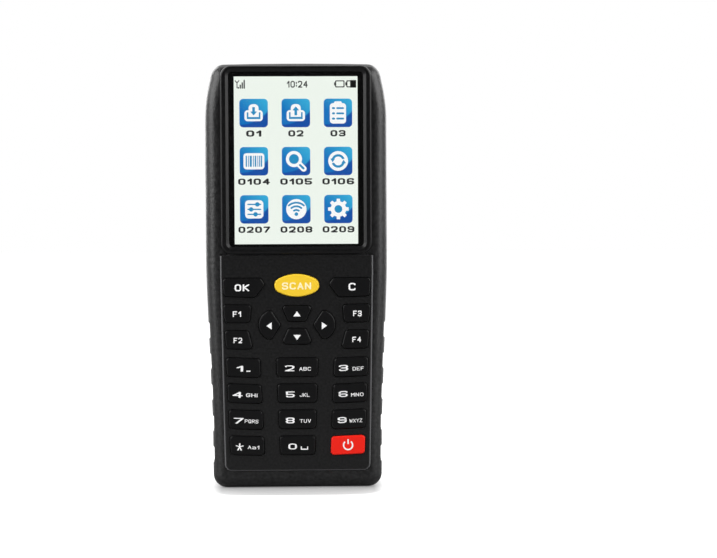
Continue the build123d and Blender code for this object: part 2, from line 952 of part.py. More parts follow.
with BuildPart() as lcd_flex:
    flex_root = lcd_back - flex_root_depth
    flex_top = lcd_low - flex_thickness - flex_fold_gap
    plug_front = board_face - flex_plug_height
    block((-flex_half, flex_root, flex_top), (flex_half, lcd_back, lcd_low))
    block((-flex_half, flex_root, flex_top), (flex_half, plug_front, flex_top + flex_thickness))
    block((-flex_half, plug_front, flex_plug_low),
          (flex_half, board_face, flex_plug_low + flex_plug_length))
save(lcd_flex, "lcd_flex")

# ================================================================ keypad and board

with BuildPart() as keypad_mat:
    mat_back = wall_back + mat_thickness
    with BuildSketch(front_plane(mat_back)):
        add(housing_outline(mat_inset))
    extrude(amount=mat_thickness)
    with BuildSketch(front_plane(board_face)):
        add(housing_outline(mat_inset))
        add(housing_outline(mat_inset + mat_skirt), mode=Mode.SUBTRACT)
    extrude(amount=board_face - mat_back)
    everything_between(ledge_low - mat_gap, height, Mode.SUBTRACT)
    with BuildSketch(front_plane(board_face)):
        add(keys_grown(flange_width + key_gap))
    extrude(amount=board_face - wall_back, mode=Mode.SUBTRACT)
    for x, z in side_pair(case_screws[:1]):
        rod(x, z, shoulder_radius + mat_gap, wall_back, board_face, Mode.SUBTRACT)
    for x, z in side_pair(board_screws_at[:1]):
        rod(x, z, board_post_radius + mat_gap, wall_back, board_face, Mode.SUBTRACT)
save(keypad_mat, "keypad_mat")

with BuildPart() as key_domes:
    for face in key_faces.values():
        x, z = key_middle(face)
        rod(x, z, dome_radius, board_face - dome_height, board_face)
    tops = key_domes.faces().filter_by(Axis.Y).group_by(Axis.Y)[0]
    fillet(tops.edges(), dome_round)
save(key_domes, "key_domes")

with BuildPart() as main_board:
    with BuildSketch(front_plane(board_back)):
        add(housing_outline(board_inset))
    extrude(amount=board_thickness)
    notch_margin = port_pad_margin + port_notch_gap
    block((-half_width, board_face, port_low - notch_margin),
          (pad_inner_x + root, board_back, port_high + notch_margin), Mode.SUBTRACT)
    for x, z in side_pair(case_screws):
        rod(x, z, boss_radius + screw_gap, board_face, board_back, Mode.SUBTRACT)
    for x, z in side_pair(board_screws_at):
        rod(x, z, board_screw_radius + screw_gap, board_face, board_back, Mode.SUBTRACT)
save(main_board, "main_board")


def board_can(low_x, low_z, width, high, thickness):
    """Shield can with soft edges standing on the back of the main board."""
    with BuildPart() as can:
        block((low_x, board_back, low_z), (low_x + width, board_back + thickness, low_z + high))
        fillet(can.faces().sort_by(Axis.Y)[-1].edges(), shield_round)
    return can


save(board_can(shield_x, shield_low, shield_width, shield_height, shield_thickness),
     "processor_shield")
save(board_can(radio_x, radio_low, radio_width, radio_height, radio_thickness), "radio_shield")

# Chips as (x, z, width, height).
chips = [
    (-12.0, arrow_middle - 1.2, 14.0, 10.0),
    (10.0, arrow_middle - 1.2, 10.0, 10.0),
    (0.0, first_row - 4.9, 12.0, 8.0),
    (sound_x, scan_height - 0.4, 8.0, 8.0),
]
with BuildPart() as board_chips:
    for x, z, width, high in chips:
        block((x - width / 2, board_back, z - high / 2),
              (x + width / 2, board_back + chip_thickness, z + high / 2))
save(board_chips, "board_chips")

with BuildPart() as backup_cell:
    rod(sound_x, ramp_high + cell_rise, cell_radius, board_back, board_back + cell_thickness)
    fillet(backup_cell.faces().sort_by(Axis.Y)[-1].edges(), cell_round)
save(backup_cell, "backup_cell")

with BuildPart() as buzzer:
    buzzer_back = board_back + buzzer_thickness
    rod(sound_x, buzzer_z, buzzer_radius, board_back, buzzer_back)
    fillet(buzzer.faces().sort_by(Axis.Y)[-1].edges(), shield_round)
    rod(sound_x, buzzer_z, buzzer_hole, buzzer_back - buzzer_hole_depth, buzzer_back, Mode.SUBTRACT)
save(buzzer, "buzzer")

with BuildPart() as radio_antenna:
    antenna_x = half_width - wall - antenna_gap
    antenna_low = ramp_high + antenna_rise
    block((antenna_x - antenna_thickness, antenna_front, antenna_low),
          (antenna_x, antenna_front + antenna_width, antenna_low + antenna_height))
save(radio_antenna, "radio_antenna")

# ================================================================ rear housing

with BuildPart() as tunnels:
    for x, z in side_pair(case_screws):
        rod(x, z, tunnel_radius, parting, head_back)
    add(outer_form, mode=Mode.INTERSECT)

with BuildPart() as rear_housing:
    add(outer.part)
    split(bisect_by=Plane.XZ.offset(-parting), keep=Keep.BOTTOM)
    add(inner_form, mode=Mode.SUBTRACT)
    add(tunnels.part)
    block((-bay_half - bay_wall, parting, bay_low - bay_wall),
          (bay_half + bay_wall, frame_face, bay_high + bay_wall))
    block((-door_half - frame_margin, frame_face - frame_thickness, door_low - frame_foot),
          (door_half + frame_margin, frame_face + frame_lap, door_top + frame_margin))
    block((-pocket_half - bay_wall, pocket_floor - bay_wall, door_low - frame_foot),
          (pocket_half + bay_wall, frame_face, bay_low))
    block((-door_half - door_gap, frame_face, door_low - door_gap),
          (door_half + door_gap, head_back, hinge_height), Mode.SUBTRACT)
    block((-bay_half, bay_floor, bay_low), (bay_half, head_back, bay_high), Mode.SUBTRACT)
    block((-pocket_half, pocket_floor, door_low), (pocket_half, frame_face, bay_low - bay_wall),
          Mode.SUBTRACT)
    block((-tongue_half - slide_gap, tongue_back - tongue_thickness - 2 * slide_gap,
           door_low - latch_travel - 2 * slide_gap),
          (tongue_half + slide_gap, frame_face + bite, door_low + tongue_lap), Mode.SUBTRACT)
    block((-contact_slot_half, contact_front - contact_slot_gap, bay_low - bay_wall),
          (contact_slot_half, contact_front + contact_thickness + contact_slot_gap, bay_low),
          Mode.SUBTRACT)
    block((-bay_half - seal_width, seal_front, bay_low - seal_width),
          (bay_half + seal_width, head_back, bay_high + seal_width), Mode.SUBTRACT)
    recess_half = door_half + door_gap
    hinge_rod(knuckle_radius + door_gap, -recess_half, recess_half, Mode.SUBTRACT)
    block((-recess_half, hinge_depth, hinge_height), (recess_half, head_back, door_top),
          Mode.SUBTRACT)
    for start, end in knuckle_spans:
        hinge_rod(knuckle_radius, start, end)
        block((start, hinge_depth - 2 * knuckle_radius, hinge_height - knuckle_radius),
              (end, hinge_depth, hinge_height + knuckle_radius))
    hinge_rod(hinge_pin_radius + pin_seat, -door_half, door_half, Mode.SUBTRACT)
    for x, z in side_pair(case_screws):
        rod(x, z, screw_head_radius + screw_gap, screw_seat, head_back + past, Mode.SUBTRACT)
        rod(x, z, screw_radius + screw_gap, parting, screw_seat, Mode.SUBTRACT)
    for index in range(slot_count):
        x = sound_x + (index - (slot_count - 1) / 2) * slot_pitch
        block((x - slot_width / 2, head_back - 2 * wall, buzzer_z - slot_height / 2),
              (x + slot_width / 2, head_back + past, buzzer_z + slot_height / 2), Mode.SUBTRACT)
    for x, z in side_pair(bracket_screws_at):
        rod(x, z, bracket_post_radius, bracket_back, head_back - wall + root)
        rod(x, z, board_screw_radius + bite, bracket_back, head_back - wall / 2, Mode.SUBTRACT)
    block((-scan_window_half - scan_window_gap, window_front - scan_window_gap, window_seat),
          (scan_window_half + scan_window_gap, window_back + scan_window_gap, height + past),
          Mode.SUBTRACT)
    sight_half = scan_window_half - scan_window_ledge
    block((-sight_half, window_front + scan_window_ledge, height - 2 * wall),
          (sight_half, window_back - scan_window_ledge, height), Mode.SUBTRACT)
save(rear_housing, "rear_housing")

# ================================================================ battery and its door

with BuildPart() as battery_pack:
    block((-bay_half + battery_gap, bay_floor + battery_floor_gap, bay_low + battery_play),
          (bay_half - battery_gap, frame_face - battery_gap, bay_high - battery_play))
    fillet(battery_pack.edges().filter_by(Axis.Z), battery_round)
save(battery_pack, "battery_pack")

connector_top = bay_low - bay_wall - connector_gap
with BuildPart() as battery_connector:
    block((-connector_half, board_back, connector_top - connector_height),
          (connector_half, contact_front + contact_thickness + connector_lid, connector_top))
save(battery_connector, "battery_connector")

with BuildPart() as battery_contacts:
    for index in range(contact_count):
        x = (index - (contact_count - 1) / 2) * contact_pitch
        block((x - contact_width / 2, contact_front, connector_top),
              (x + contact_width / 2, contact_front + contact_thickness,
               bay_low + battery_play - contact_gap))
save(battery_contacts, "battery_contacts")

with BuildPart() as door_hinge_pin:
    hinge_rod(hinge_pin_radius, -door_half + pin_short, door_half - pin_short)
save(door_hinge_pin, "door_hinge_pin")

with BuildPart() as battery_door:
    block((-door_half, door_inside, door_low), (door_half, handle_back, hinge_height))
    fillet(battery_door.edges().filter_by(Axis.Y).group_by(Axis.Z)[0], door_corner)
    hinge_rod(knuckle_radius, -door_half, door_half)
    for start, end in knuckle_spans:
        block((start - knuckle_gap, door_inside - past, hinge_height - knuckle_radius - knuckle_gap),
              (end + knuckle_gap, handle_back + past, hinge_height + knuckle_radius + past),
              Mode.SUBTRACT)
    hinge_rod(hinge_pin_radius + pin_clearance, -door_half, door_half, Mode.SUBTRACT)
    block((-latch_neck_half - slide_gap, door_inside, neck_low - latch_travel - slide_gap),
          (latch_neck_half + slide_gap, handle_back, neck_high + slide_gap), Mode.SUBTRACT)
    for index in range(rib_count):
        z = door_low + rib_low + index * rib_pitch
        block((-rib_half, handle_back - rib_depth, z - rib_width / 2),
              (rib_half, handle_back, z + rib_width / 2), Mode.SUBTRACT)
save(battery_door, "battery_door")

with BuildPart() as battery_latch:
    pad_front = handle_back + latch_pad_gap
    pad_middle = (neck_low + neck_high) / 2
    block((-tongue_half, tongue_back - tongue_thickness, tongue_low),
          (tongue_half, tongue_back, tongue_low + tongue_height))
    block((-latch_neck_half, tongue_back, neck_low), (latch_neck_half, pad_front, neck_high))
    block((-tongue_half, pad_front, pad_middle - latch_pad_height / 2),
          (tongue_half, pad_front + latch_pad_thickness, pad_middle + latch_pad_height / 2))
    fillet(battery_latch.faces().sort_by(Axis.Y)[-1].edges(), latch_round)
save(battery_latch, "battery_latch")

with BuildPart() as door_seal:
    block((-bay_half - seal_width, seal_front, bay_low - seal_width),
          (bay_half + seal_width, door_inside - seal_gap, bay_high + seal_width))
    block((-bay_half, seal_front, bay_low), (bay_half, door_inside, bay_high), Mode.SUBTRACT)
save(door_seal, "door_seal")

# ================================================================ side port

with BuildPart() as usb_connector:
    block(usb_low, usb_high)
    mouth_end = mouth_x + usb_mouth_depth
    block((mouth_x, usb_low[1] + usb_shell, usb_low[2] + usb_shell),
          (mouth_end, usb_high[1] - usb_shell, usb_high[2] - usb_shell), Mode.SUBTRACT)
    tongue_y = (usb_low[1] + usb_high[1]) / 2
    block((mouth_x + usb_tongue_setback, tongue_y - usb_tongue_thickness / 2,
           port_middle - usb_tongue_half),
          (mouth_end, tongue_y + usb_tongue_thickness / 2, port_middle + usb_tongue_half))
save(usb_connector, "usb_connector")

with BuildPart() as port_cover_pin:
    with Locations((port_pin_x, port_pin_y, port_middle)):
        Cylinder(port_pin_radius, 2 * port_half - pin_short)
save(port_cover_pin, "port_cover_pin")

with BuildPart() as port_cover:
    hinge_strip = port_pin_y + port_knuckle + port_gap
    block((-half_width, port_pin_y, port_low), (port_inside_x, port_end_y, port_high))
    fillet(port_cover.edges().filter_by(Axis.X).group_by(Axis.Y)[-1], port_corner)
    block((-half_width - past, port_pin_y - past, port_low - past),
          (0, hinge_strip, port_middle - port_knuckle_half), Mode.SUBTRACT)
    block((-half_width - past, port_pin_y - past, port_middle + port_knuckle_half),
          (0, hinge_strip, port_high + past), Mode.SUBTRACT)
    with Locations((port_pin_x, port_pin_y, port_middle)):
        Cylinder(port_knuckle, 2 * port_knuckle_half)
        Cylinder(port_pin_radius + pin_clearance, 2 * port_knuckle_half, mode=Mode.SUBTRACT)
    block((port_inside_x, usb_low[1] + plug_gap, usb_low[2]),
          (port_inside_x + plug_depth, usb_high[1] - plug_gap, usb_high[2]))
save(port_cover, "port_cover")

# ================================================================ scan head

with BuildPart() as scan_engine:
    block((-engine_half, engine_front, engine_low), (engine_half, engine_back, engine_high))
    fillet(scan_engine.edges().filter_by(Axis.Z), engine_round)
    with Locations((optic_x, engine_middle_y, engine_high)):
        Cylinder(optic_radius + optic_gap, 2 * optic_sunk, mode=Mode.SUBTRACT)
save(scan_engine, "scan_engine")

with BuildPart() as scan_optics:
    with Locations((optic_x, engine_middle_y, engine_high - optic_sunk + optic_height / 2)):
        Cylinder(optic_radius, optic_height)
    with Locations((aimer_x, engine_middle_y, engine_high + aimer_height / 2)):
        Box(aimer_width, aimer_depth, aimer_height)
save(scan_optics, "scan_optics")

with BuildPart() as scan_bracket:
    bracket_low = engine_low + bracket_inset
    bracket_high = engine_high - bracket_inset
    block((-bracket_half, engine_back, bracket_low), (bracket_half, bracket_back, bracket_high))
    for side in (-1, 1):
        inner = side * engine_half
        outside = side * (engine_half + bracket_thickness)
        block((min(inner, outside), engine_front + bracket_arm_setback, bracket_low),
              (max(inner, outside), engine_back, bracket_high))
    for x, z in side_pair(bracket_screws_at):
        rod(x, z, board_screw_radius + screw_gap, engine_back, bracket_back, Mode.SUBTRACT)
save(scan_bracket, "scan_bracket")

with BuildPart() as scan_window:
    block((-scan_window_half, window_front, window_seat),
          (scan_window_half, window_back, window_top))
save(scan_window, "scan_window")

with BuildPart() as scan_flex:
    flex_front = engine_front + scan_flex_depth
    flex_back = flex_front + scan_flex_thickness
    flex_low = engine_low - scan_flex_drop
    block((-scan_flex_half, flex_front, flex_low), (scan_flex_half, flex_back, engine_low))
    block((-scan_flex_half, board_back, flex_low),
          (scan_flex_half, flex_back, flex_low + scan_flex_thickness))
    block((-scan_plug_half, board_back, flex_low - scan_plug_height),
          (scan_plug_half, board_back + scan_plug_thickness, flex_low))
save(scan_flex, "scan_flex")

# ================================================================ fasteners

def pan_screw(x, z, radius, head_radius, head_height, seat, length):
    """Screw driven towards the keys, its head resting at depth seat."""
    rod(x, z, radius, seat - length, seat)
    rod(x, z, head_radius, seat, seat + head_height)
    reach = 2.2 * radius
    blade = 0.4 * radius
    with Locations((x, seat + head_height, z)):
        Box(reach, radius, blade, mode=Mode.SUBTRACT)
        Box(blade, radius, reach, mode=Mode.SUBTRACT)


with BuildPart() as housing_screws:
    for x, z in side_pair(case_screws):
        pan_screw(x, z, screw_radius, screw_head_radius, screw_head_height, screw_seat, screw_length)
save(housing_screws, "housing_screws")

with BuildPart() as board_screws:
    for x, z in side_pair(board_screws_at):
        pan_screw(x, z, board_screw_radius, board_screw_head, board_screw_head_height, board_back,
                  board_thickness + board_gap)
save(board_screws, "board_screws")

with BuildPart() as scan_screws:
    for x, z in side_pair(bracket_screws_at):
        rod(x, z, board_screw_radius, engine_back, engine_back + bracket_screw_length)
        rod(x, z, board_screw_head, engine_back - board_screw_head_height, engine_back)
save(scan_screws, "scan_screws")
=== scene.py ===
# %% [markdown]
# # A hand-held barcode data terminal
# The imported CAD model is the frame: sixty pieces at their real size, in metres, each on the body
# that carries it. This notebook never moves them. It gives each one the finish of its real
# material and adds what is printed or lit: the key legends, the black border of the lens and the
# picture on the display. X runs to the right, Y from the keys to the back and Z up.

# %% Load the frame
import math

import bmesh
import bpy
from mathutils import Matrix, Quaternion, Vector


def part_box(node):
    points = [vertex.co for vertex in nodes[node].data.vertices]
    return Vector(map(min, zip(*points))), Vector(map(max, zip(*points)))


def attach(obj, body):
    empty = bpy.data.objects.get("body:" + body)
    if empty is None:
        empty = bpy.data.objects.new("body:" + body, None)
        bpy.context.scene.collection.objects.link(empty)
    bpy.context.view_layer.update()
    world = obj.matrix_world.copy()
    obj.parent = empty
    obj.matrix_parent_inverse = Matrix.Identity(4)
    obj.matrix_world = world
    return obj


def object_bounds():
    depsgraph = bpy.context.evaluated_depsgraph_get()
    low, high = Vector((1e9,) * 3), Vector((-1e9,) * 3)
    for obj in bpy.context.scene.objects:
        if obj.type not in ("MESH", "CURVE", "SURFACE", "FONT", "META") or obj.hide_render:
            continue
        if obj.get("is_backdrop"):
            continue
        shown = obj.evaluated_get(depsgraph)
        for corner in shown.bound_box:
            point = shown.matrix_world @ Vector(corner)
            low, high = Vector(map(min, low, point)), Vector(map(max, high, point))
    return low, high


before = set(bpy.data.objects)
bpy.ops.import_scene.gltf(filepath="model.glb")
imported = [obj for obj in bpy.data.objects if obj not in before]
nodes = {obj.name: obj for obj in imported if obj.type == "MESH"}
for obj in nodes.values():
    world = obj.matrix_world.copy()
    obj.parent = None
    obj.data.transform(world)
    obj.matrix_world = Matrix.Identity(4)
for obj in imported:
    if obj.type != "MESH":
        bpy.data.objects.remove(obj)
scene = bpy.context.scene
mm = 0.001
cad_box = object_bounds()
size = (cad_box[1] - cad_box[0]) / mm
print(f"frame: {len(nodes)} nodes, {size.x:.1f} x {size.y:.1f} x {size.z:.1f} mm")

# %% [markdown]
# ## Camera
# The terminal is seen straight on from a little above, through a long lens, so its sides stay
# nearly parallel. One picture pixel covers 0.387 mm of the object. The lens and the width of the
# picture give the distance. The camera stands on the middle line of the terminal and turns a
# little to the right, which puts the terminal left of the centre without any lens shift. A
# quarter of a degree of roll lets the terminal lean a little to the left.

# %% Camera
picture_width = 717
picture_height = 558
pixel_size = 0.3869 * mm
lens_length = 100.0
sensor_width = 36.0
camera_elevation = math.radians(2.5)
camera_roll = math.radians(-0.25)
centre_pixel = (296.75, 275.6)

camera_data = bpy.data.cameras.new("camera")
camera_data.lens = lens_length
camera_data.sensor_width = sensor_width
camera = bpy.data.objects.new("camera", camera_data)
scene.collection.objects.link(camera)
scene.camera = camera

view_distance = picture_width * pixel_size * lens_length / sensor_width
outline_depth = -10 * mm
aim = Vector((
    (picture_width / 2 - centre_pixel[0]) * pixel_size,
    outline_depth,
    cad_box[1].z / 2 - (picture_height / 2 - centre_pixel[1]) * pixel_size,
))
camera.location = (
    0,
    outline_depth - view_distance * math.cos(camera_elevation),
    aim.z + view_distance * math.sin(camera_elevation),
)
look = (aim - camera.location).to_track_quat("-Z", "Y") @ Quaternion((0, 0, 1), camera_roll)
camera.rotation_euler = look.to_euler()
print(f"camera: {view_distance / mm:.0f} mm away")

# %% [markdown]
# ## One helper for all shader nodes
# A finish is a small tree of shader nodes. This helper adds one node, sets its properties and its
# input values, and links what feeds it. Colours are written as sRGB hex values, as a designer gives
# them, and one function turns them into the linear values that the shader needs.
#
# A grain is a noise whose scale is one over its width. Moulded grain is often finer than a picture
# pixel. On the large outer surfaces it is then drawn coarser, and a comment gives the width that
# such a grain usually has.


# %% Shader helpers
def colour(hex_value):
    """Linear RGBA of an sRGB hex value."""
    channels = [int(hex_value[i:i + 2], 16) / 255 for i in (1, 3, 5)]
    linear = [c / 12.92 if c <= 0.04045 else ((c + 0.055) / 1.055) ** 2.4 for c in channels]
    return (*linear, 1.0)


def add_node(tree, kind, values=None, links=None, **settings):
    """Add one shader node with its settings, input values and links from other sockets."""
    made = tree.nodes.new(kind)
    for key, value in settings.items():
        setattr(made, key, value)
    for socket, value in (values or {}).items():
        made.inputs[socket].default_value = value
    for socket, source in (links or {}).items():
        tree.links.new(source, made.inputs[socket])
    return made


def new_finish(name, values):
    """A material with one Principled shader, and its tree and shader for more nodes."""
    made = bpy.data.materials.new(name)
    made.use_nodes = True
    shader = made.node_tree.nodes["Principled BSDF"]
    for socket, value in values.items():
        shader.inputs[socket].default_value = value
    return made, made.node_tree, shader


def add_grain(tree, shader, grain, depth, detail=2.0):
    """Raise a surface into grains of a real width and depth, both in millimetres."""
    place = add_node(tree, "ShaderNodeTexCoord")
    noise = add_node(tree, "ShaderNodeTexNoise", {"Scale": 1 / (grain * mm), "Detail": detail},
                     {"Vector": place.outputs["Object"]})
    bump = add_node(tree, "ShaderNodeBump", {"Distance": depth * mm, "Strength": 1.0},
                    {"Height": noise.outputs["Fac"]})
    tree.links.new(bump.outputs["Normal"], shader.inputs["Normal"])
    return noise


def vary_roughness(tree, shader, noise, low, high):
    """Let the roughness follow a noise between two values."""
    spread = add_node(tree, "ShaderNodeMapRange", {"To Min": low, "To Max": high},
                      {"Value": noise.outputs["Fac"]})
    tree.links.new(spread.outputs["Result"], shader.inputs["Roughness"])


def vary_colour(tree, shader, noise, dark, light):
    """Let the base colour follow a noise between two hex values."""
    spread = add_node(tree, "ShaderNodeMapRange", {"From Min": 0.3, "From Max": 0.7},
                      {"Value": noise.outputs["Fac"]})
    blend = add_node(tree, "ShaderNodeMix", {"A": colour(dark), "B": colour(light)},
                     {"Factor": spread.outputs["Result"]}, data_type="RGBA")
    tree.links.new(blend.outputs[2], shader.inputs["Base Color"])
    return blend


# %% [markdown]
# ## Shell plastics
# The two half shells are black ABS from a spark-eroded mould. Their grain scatters the light, so
# the round sides look dark grey with fine speckles and no sharp reflection. The face panel and the
# bezel are the same plastic from a finer mould, darker because less light scatters. Their colour
# carries a painted highlight, lighter where the surface turns away from the front: strong on the
# panel, faint on the bezel, so the ridge round the panel shows as a thin bright line.


# %% Shell plastics
def spark_eroded_abs():
    """ABS from a coarse spark-eroded mould: speckled, broad dull highlights."""
    made, tree, shader = new_finish("spark_eroded_abs", {
        "Base Color": colour("#0E0E0F"), "Roughness": 0.38, "IOR": 1.54,
        "Specular IOR Level": 0.4})
    # Such a grain is usually 0.3 mm wide or less. It is drawn coarser, so that it shows.
    grain = add_grain(tree, shader, grain=1.15, depth=0.11, detail=1.5)
    vary_roughness(tree, shader, grain, 0.32, 0.46)
    vary_colour(tree, shader, grain, "#000000", "#1E1E1F")
    return made


def satin_abs(name, hex_value, painted_highlight_hex, level):
    """ABS from a fine etched mould: even, nearly black, with a painted highlight where it turns
    sideways.
    """
    made, tree, shader = new_finish(name, {
        "Base Color": colour(hex_value), "Roughness": 0.36, "IOR": 1.54,
        "Specular IOR Level": level})
    # Such a grain is usually about 0.1 mm wide. It is drawn coarser, so that it shows.
    grain = add_grain(tree, shader, grain=0.8, depth=0.04)
    vary_roughness(tree, shader, grain, 0.3, 0.42)
    speckle = vary_colour(tree, shader, grain, "#000000", hex_value)
    # Painted highlight: the base colour turns lighter where the surface faces away from the front,
    # so the rounded edges and the ridge look lit by the side boxes.
    place = add_node(tree, "ShaderNodeNewGeometry")
    turn = add_node(tree, "ShaderNodeSeparateXYZ", links={"Vector": place.outputs["Normal"]})
    front = add_node(tree, "ShaderNodeMath", links={0: turn.outputs["Y"]}, operation="ABSOLUTE")
    edge = add_node(tree, "ShaderNodeMapRange", {"From Min": 0.97, "From Max": 0.75},
                    {"Value": front.outputs["Value"]})
    blend = add_node(tree, "ShaderNodeMix", {"B": colour(painted_highlight_hex)}, {
        "Factor": edge.outputs["Result"], "A": speckle.outputs[2]}, data_type="RGBA")
    tree.links.new(blend.outputs[2], shader.inputs["Base Color"])
    return made


def door_abs():
    """ABS of the battery door: the shell's black, from a mould with a shallower grain."""
    made, tree, shader = new_finish("door_abs", {
        "Base Color": colour("#131314"), "Roughness": 0.5, "IOR": 1.54})
    # Such a grain is usually about 0.15 mm wide. It is drawn coarser, so that it shows.
    grain = add_grain(tree, shader, grain=0.6, depth=0.04)
    vary_roughness(tree, shader, grain, 0.42, 0.58)
    return made


# %% [markdown]
# ## Silicone keys
# The keys are moulded silicone rubber with a thin matt coat that keeps the legends from wearing
# off. Silicone takes light softly: a wide weak highlight, and a little sheen at the edges.


# %% Silicone keys
def coated_silicone(name, hex_value):
    """Moulded silicone with a matt top coat: soft, even, with a faint sheen."""
    made, tree, shader = new_finish(name, {
        "Base Color": colour(hex_value), "Roughness": 0.4, "IOR": 1.43,
        "Specular IOR Level": 0.3, "Sheen Weight": 0.01, "Sheen Roughness": 0.5})
    # The specks of such a coat are usually under 0.1 mm. They are drawn coarser to show.
    grain = add_grain(tree, shader, grain=0.45, depth=0.006)
    vary_roughness(tree, shader, grain, 0.35, 0.47)
    return made


def legend_ink(name, hex_value):
    """Two-part screen ink on rubber: opaque, flat and a little duller than the key."""
    made, tree, shader = new_finish(name, {
        "Base Color": colour(hex_value), "Roughness": 0.6, "IOR": 1.5})
    grain = add_grain(tree, shader, grain=0.2, depth=0.002)
    vary_roughness(tree, shader, grain, 0.52, 0.68)
    return made


# %% [markdown]
# ## Lens, window and display
# The display lens is clear cast acrylic with a hard coat. The scan window is acrylic dyed deep red,
# which hides the optics and passes the red aiming light. The display is lit from inside, so its
# picture is made of light: an emission of the colour that the eye should see.


# %% Lens, window and display
def clear_acrylic():
    """Hard-coated clear acrylic: smooth, with one faint sharp reflection."""
    made, tree, shader = new_finish("clear_acrylic", {
        "Base Color": colour("#FFFFFF"), "Roughness": 0.02, "IOR": 1.49,
        "Transmission Weight": 1.0})
    haze = add_grain(tree, shader, grain=9.0, depth=0.0005)
    vary_roughness(tree, shader, haze, 0.0, 0.03)
    return made


def dyed_acrylic():
    """Deep red dyed acrylic of the scan window: nearly black, with a soft anti-glare surface."""
    made, tree, shader = new_finish("dyed_acrylic", {
        "Base Color": colour("#2A0506"), "Roughness": 0.4, "IOR": 1.49,
        "Specular IOR Level": 0.15, "Transmission Weight": 0.1})
    haze = add_grain(tree, shader, grain=6.0, depth=0.0006)
    vary_roughness(tree, shader, haze, 0.35, 0.45)
    return made


def lit_pixels(name, hex_value):
    """Part of the lit picture: it only gives light, and is nearly black when off."""
    return new_finish(name, {
        "Base Color": colour("#050505"), "Roughness": 0.3,
        "Emission Strength": 1.0, "Emission Color": colour(hex_value)})[0]


def lens_border_ink():
    """Black ink printed on the back of the lens: flat and even, seen through the acrylic."""
    made, tree, shader = new_finish("lens_border_ink", {
        "Base Color": colour("#020202"), "Roughness": 0.55, "Specular IOR Level": 0.05})
    grain = add_grain(tree, shader, grain=0.4, depth=0.001)
    vary_roughness(tree, shader, grain, 0.5, 0.6)
    return made


# %% [markdown]
# ## Rubber, foam and films inside
# Seals and the port cover are black rubber. Foam is full of cells, so it is matt and pitted.
# Flat cables are amber polyimide film, slightly glossy. The battery wears a shrink sleeve.


# %% Rubber, foam and films
def moulded_rubber():
    """Black thermoplastic rubber: matt, with a fine moulded grain."""
    made, tree, shader = new_finish("moulded_rubber", {
        "Base Color": colour("#121212"), "Roughness": 0.7, "IOR": 1.5, "Sheen Weight": 0.05})
    grain = add_grain(tree, shader, grain=0.5, depth=0.02)
    vary_roughness(tree, shader, grain, 0.62, 0.78)
    return made


def cell_foam():
    """Closed-cell foam: matt and pitted with cells of about a third of a millimetre."""
    made, tree, shader = new_finish("cell_foam", {
        "Base Color": colour("#232323"), "Roughness": 0.9})
    place = add_node(tree, "ShaderNodeTexCoord")
    cells = add_node(tree, "ShaderNodeTexVoronoi", {"Scale": 1 / (0.35 * mm)},
                     {"Vector": place.outputs["Object"]})
    bump = add_node(tree, "ShaderNodeBump", {"Distance": 0.1 * mm},
                    {"Height": cells.outputs["Distance"]})
    tree.links.new(bump.outputs["Normal"], shader.inputs["Normal"])
    return made


def polyimide_film():
    """Amber polyimide film of a flat cable: smooth, with faint copper lines beneath."""
    made, tree, shader = new_finish("polyimide_film", {
        "Base Color": colour("#B4691E"), "Roughness": 0.25, "IOR": 1.7})
    place = add_node(tree, "ShaderNodeTexCoord")
    # Copper lines often lie 0.5 mm apart. They are drawn coarser, 2 mm apart: the wave repeats
    # every pi / 10 of the length that its scale stands for.
    lines = add_node(tree, "ShaderNodeTexWave", {"Scale": 1 / (6.3 * mm)},
                     {"Vector": place.outputs["Object"]}, bands_direction="X")
    blend = add_node(tree, "ShaderNodeMix", {"A": colour("#A55A17"), "B": colour("#C98236")},
                     {"Factor": lines.outputs["Fac"]}, data_type="RGBA")
    tree.links.new(blend.outputs[2], shader.inputs["Base Color"])
    return made


def shrink_sleeve():
    """Heat-shrunk PVC sleeve of the battery: dark blue-grey, glossy, a little wavy."""
    made, tree, shader = new_finish("shrink_sleeve", {
        "Base Color": colour("#2B3138"), "Roughness": 0.28, "IOR": 1.53})
    waves = add_grain(tree, shader, grain=7.0, depth=0.15, detail=1.0)
    vary_roughness(tree, shader, waves, 0.22, 0.36)
    return made


# %% [markdown]
# ## Electronics
# A circuit board is glass cloth under green solder mask. Chips are black moulding compound.
# The shield cans are tinned steel, domes, pins and brackets bare stainless steel, and the contacts
# have a thin gold plating. Metals keep the default IOR: their colour does the work. The optics of
# the scan engine are coated glass, which reads as a dark mirror behind the dyed window.


# %% Electronics
def solder_mask():
    """Green solder mask over glass cloth: semi-gloss, with the weave showing faintly."""
    made, tree, shader = new_finish("solder_mask", {
        "Base Color": colour("#0F4A2B"), "Roughness": 0.35, "IOR": 1.55})
    # Threads of such cloth lie about 0.5 mm apart. A coarser noise stands in for them.
    weave = add_grain(tree, shader, grain=0.9, depth=0.012, detail=1.0)
    vary_colour(tree, shader, weave, "#0B3D23", "#145934")
    return made


def mould_compound(name, hex_value):
    """Epoxy or engineering plastic of chips and connectors: dull and fine-grained."""
    made, tree, shader = new_finish(name, {
        "Base Color": colour(hex_value), "Roughness": 0.6, "IOR": 1.55})
    grain = add_grain(tree, shader, grain=0.25, depth=0.01)
    vary_roughness(tree, shader, grain, 0.52, 0.7)
    return made


def plated_metal(name, hex_value, low, high):
    """Rolled or plated metal: the plate's colour, and a roughness that drifts a little."""
    made, tree, shader = new_finish(name, {
        "Base Color": colour(hex_value), "Metallic": 1.0, "Roughness": low})
    drift = add_grain(tree, shader, grain=0.8, depth=0.004)
    vary_roughness(tree, shader, drift, low, high)
    return made


# %% [markdown]
# ## Dress the frame
# Each CAD node gets one finish. Pieces of the same real material share it.

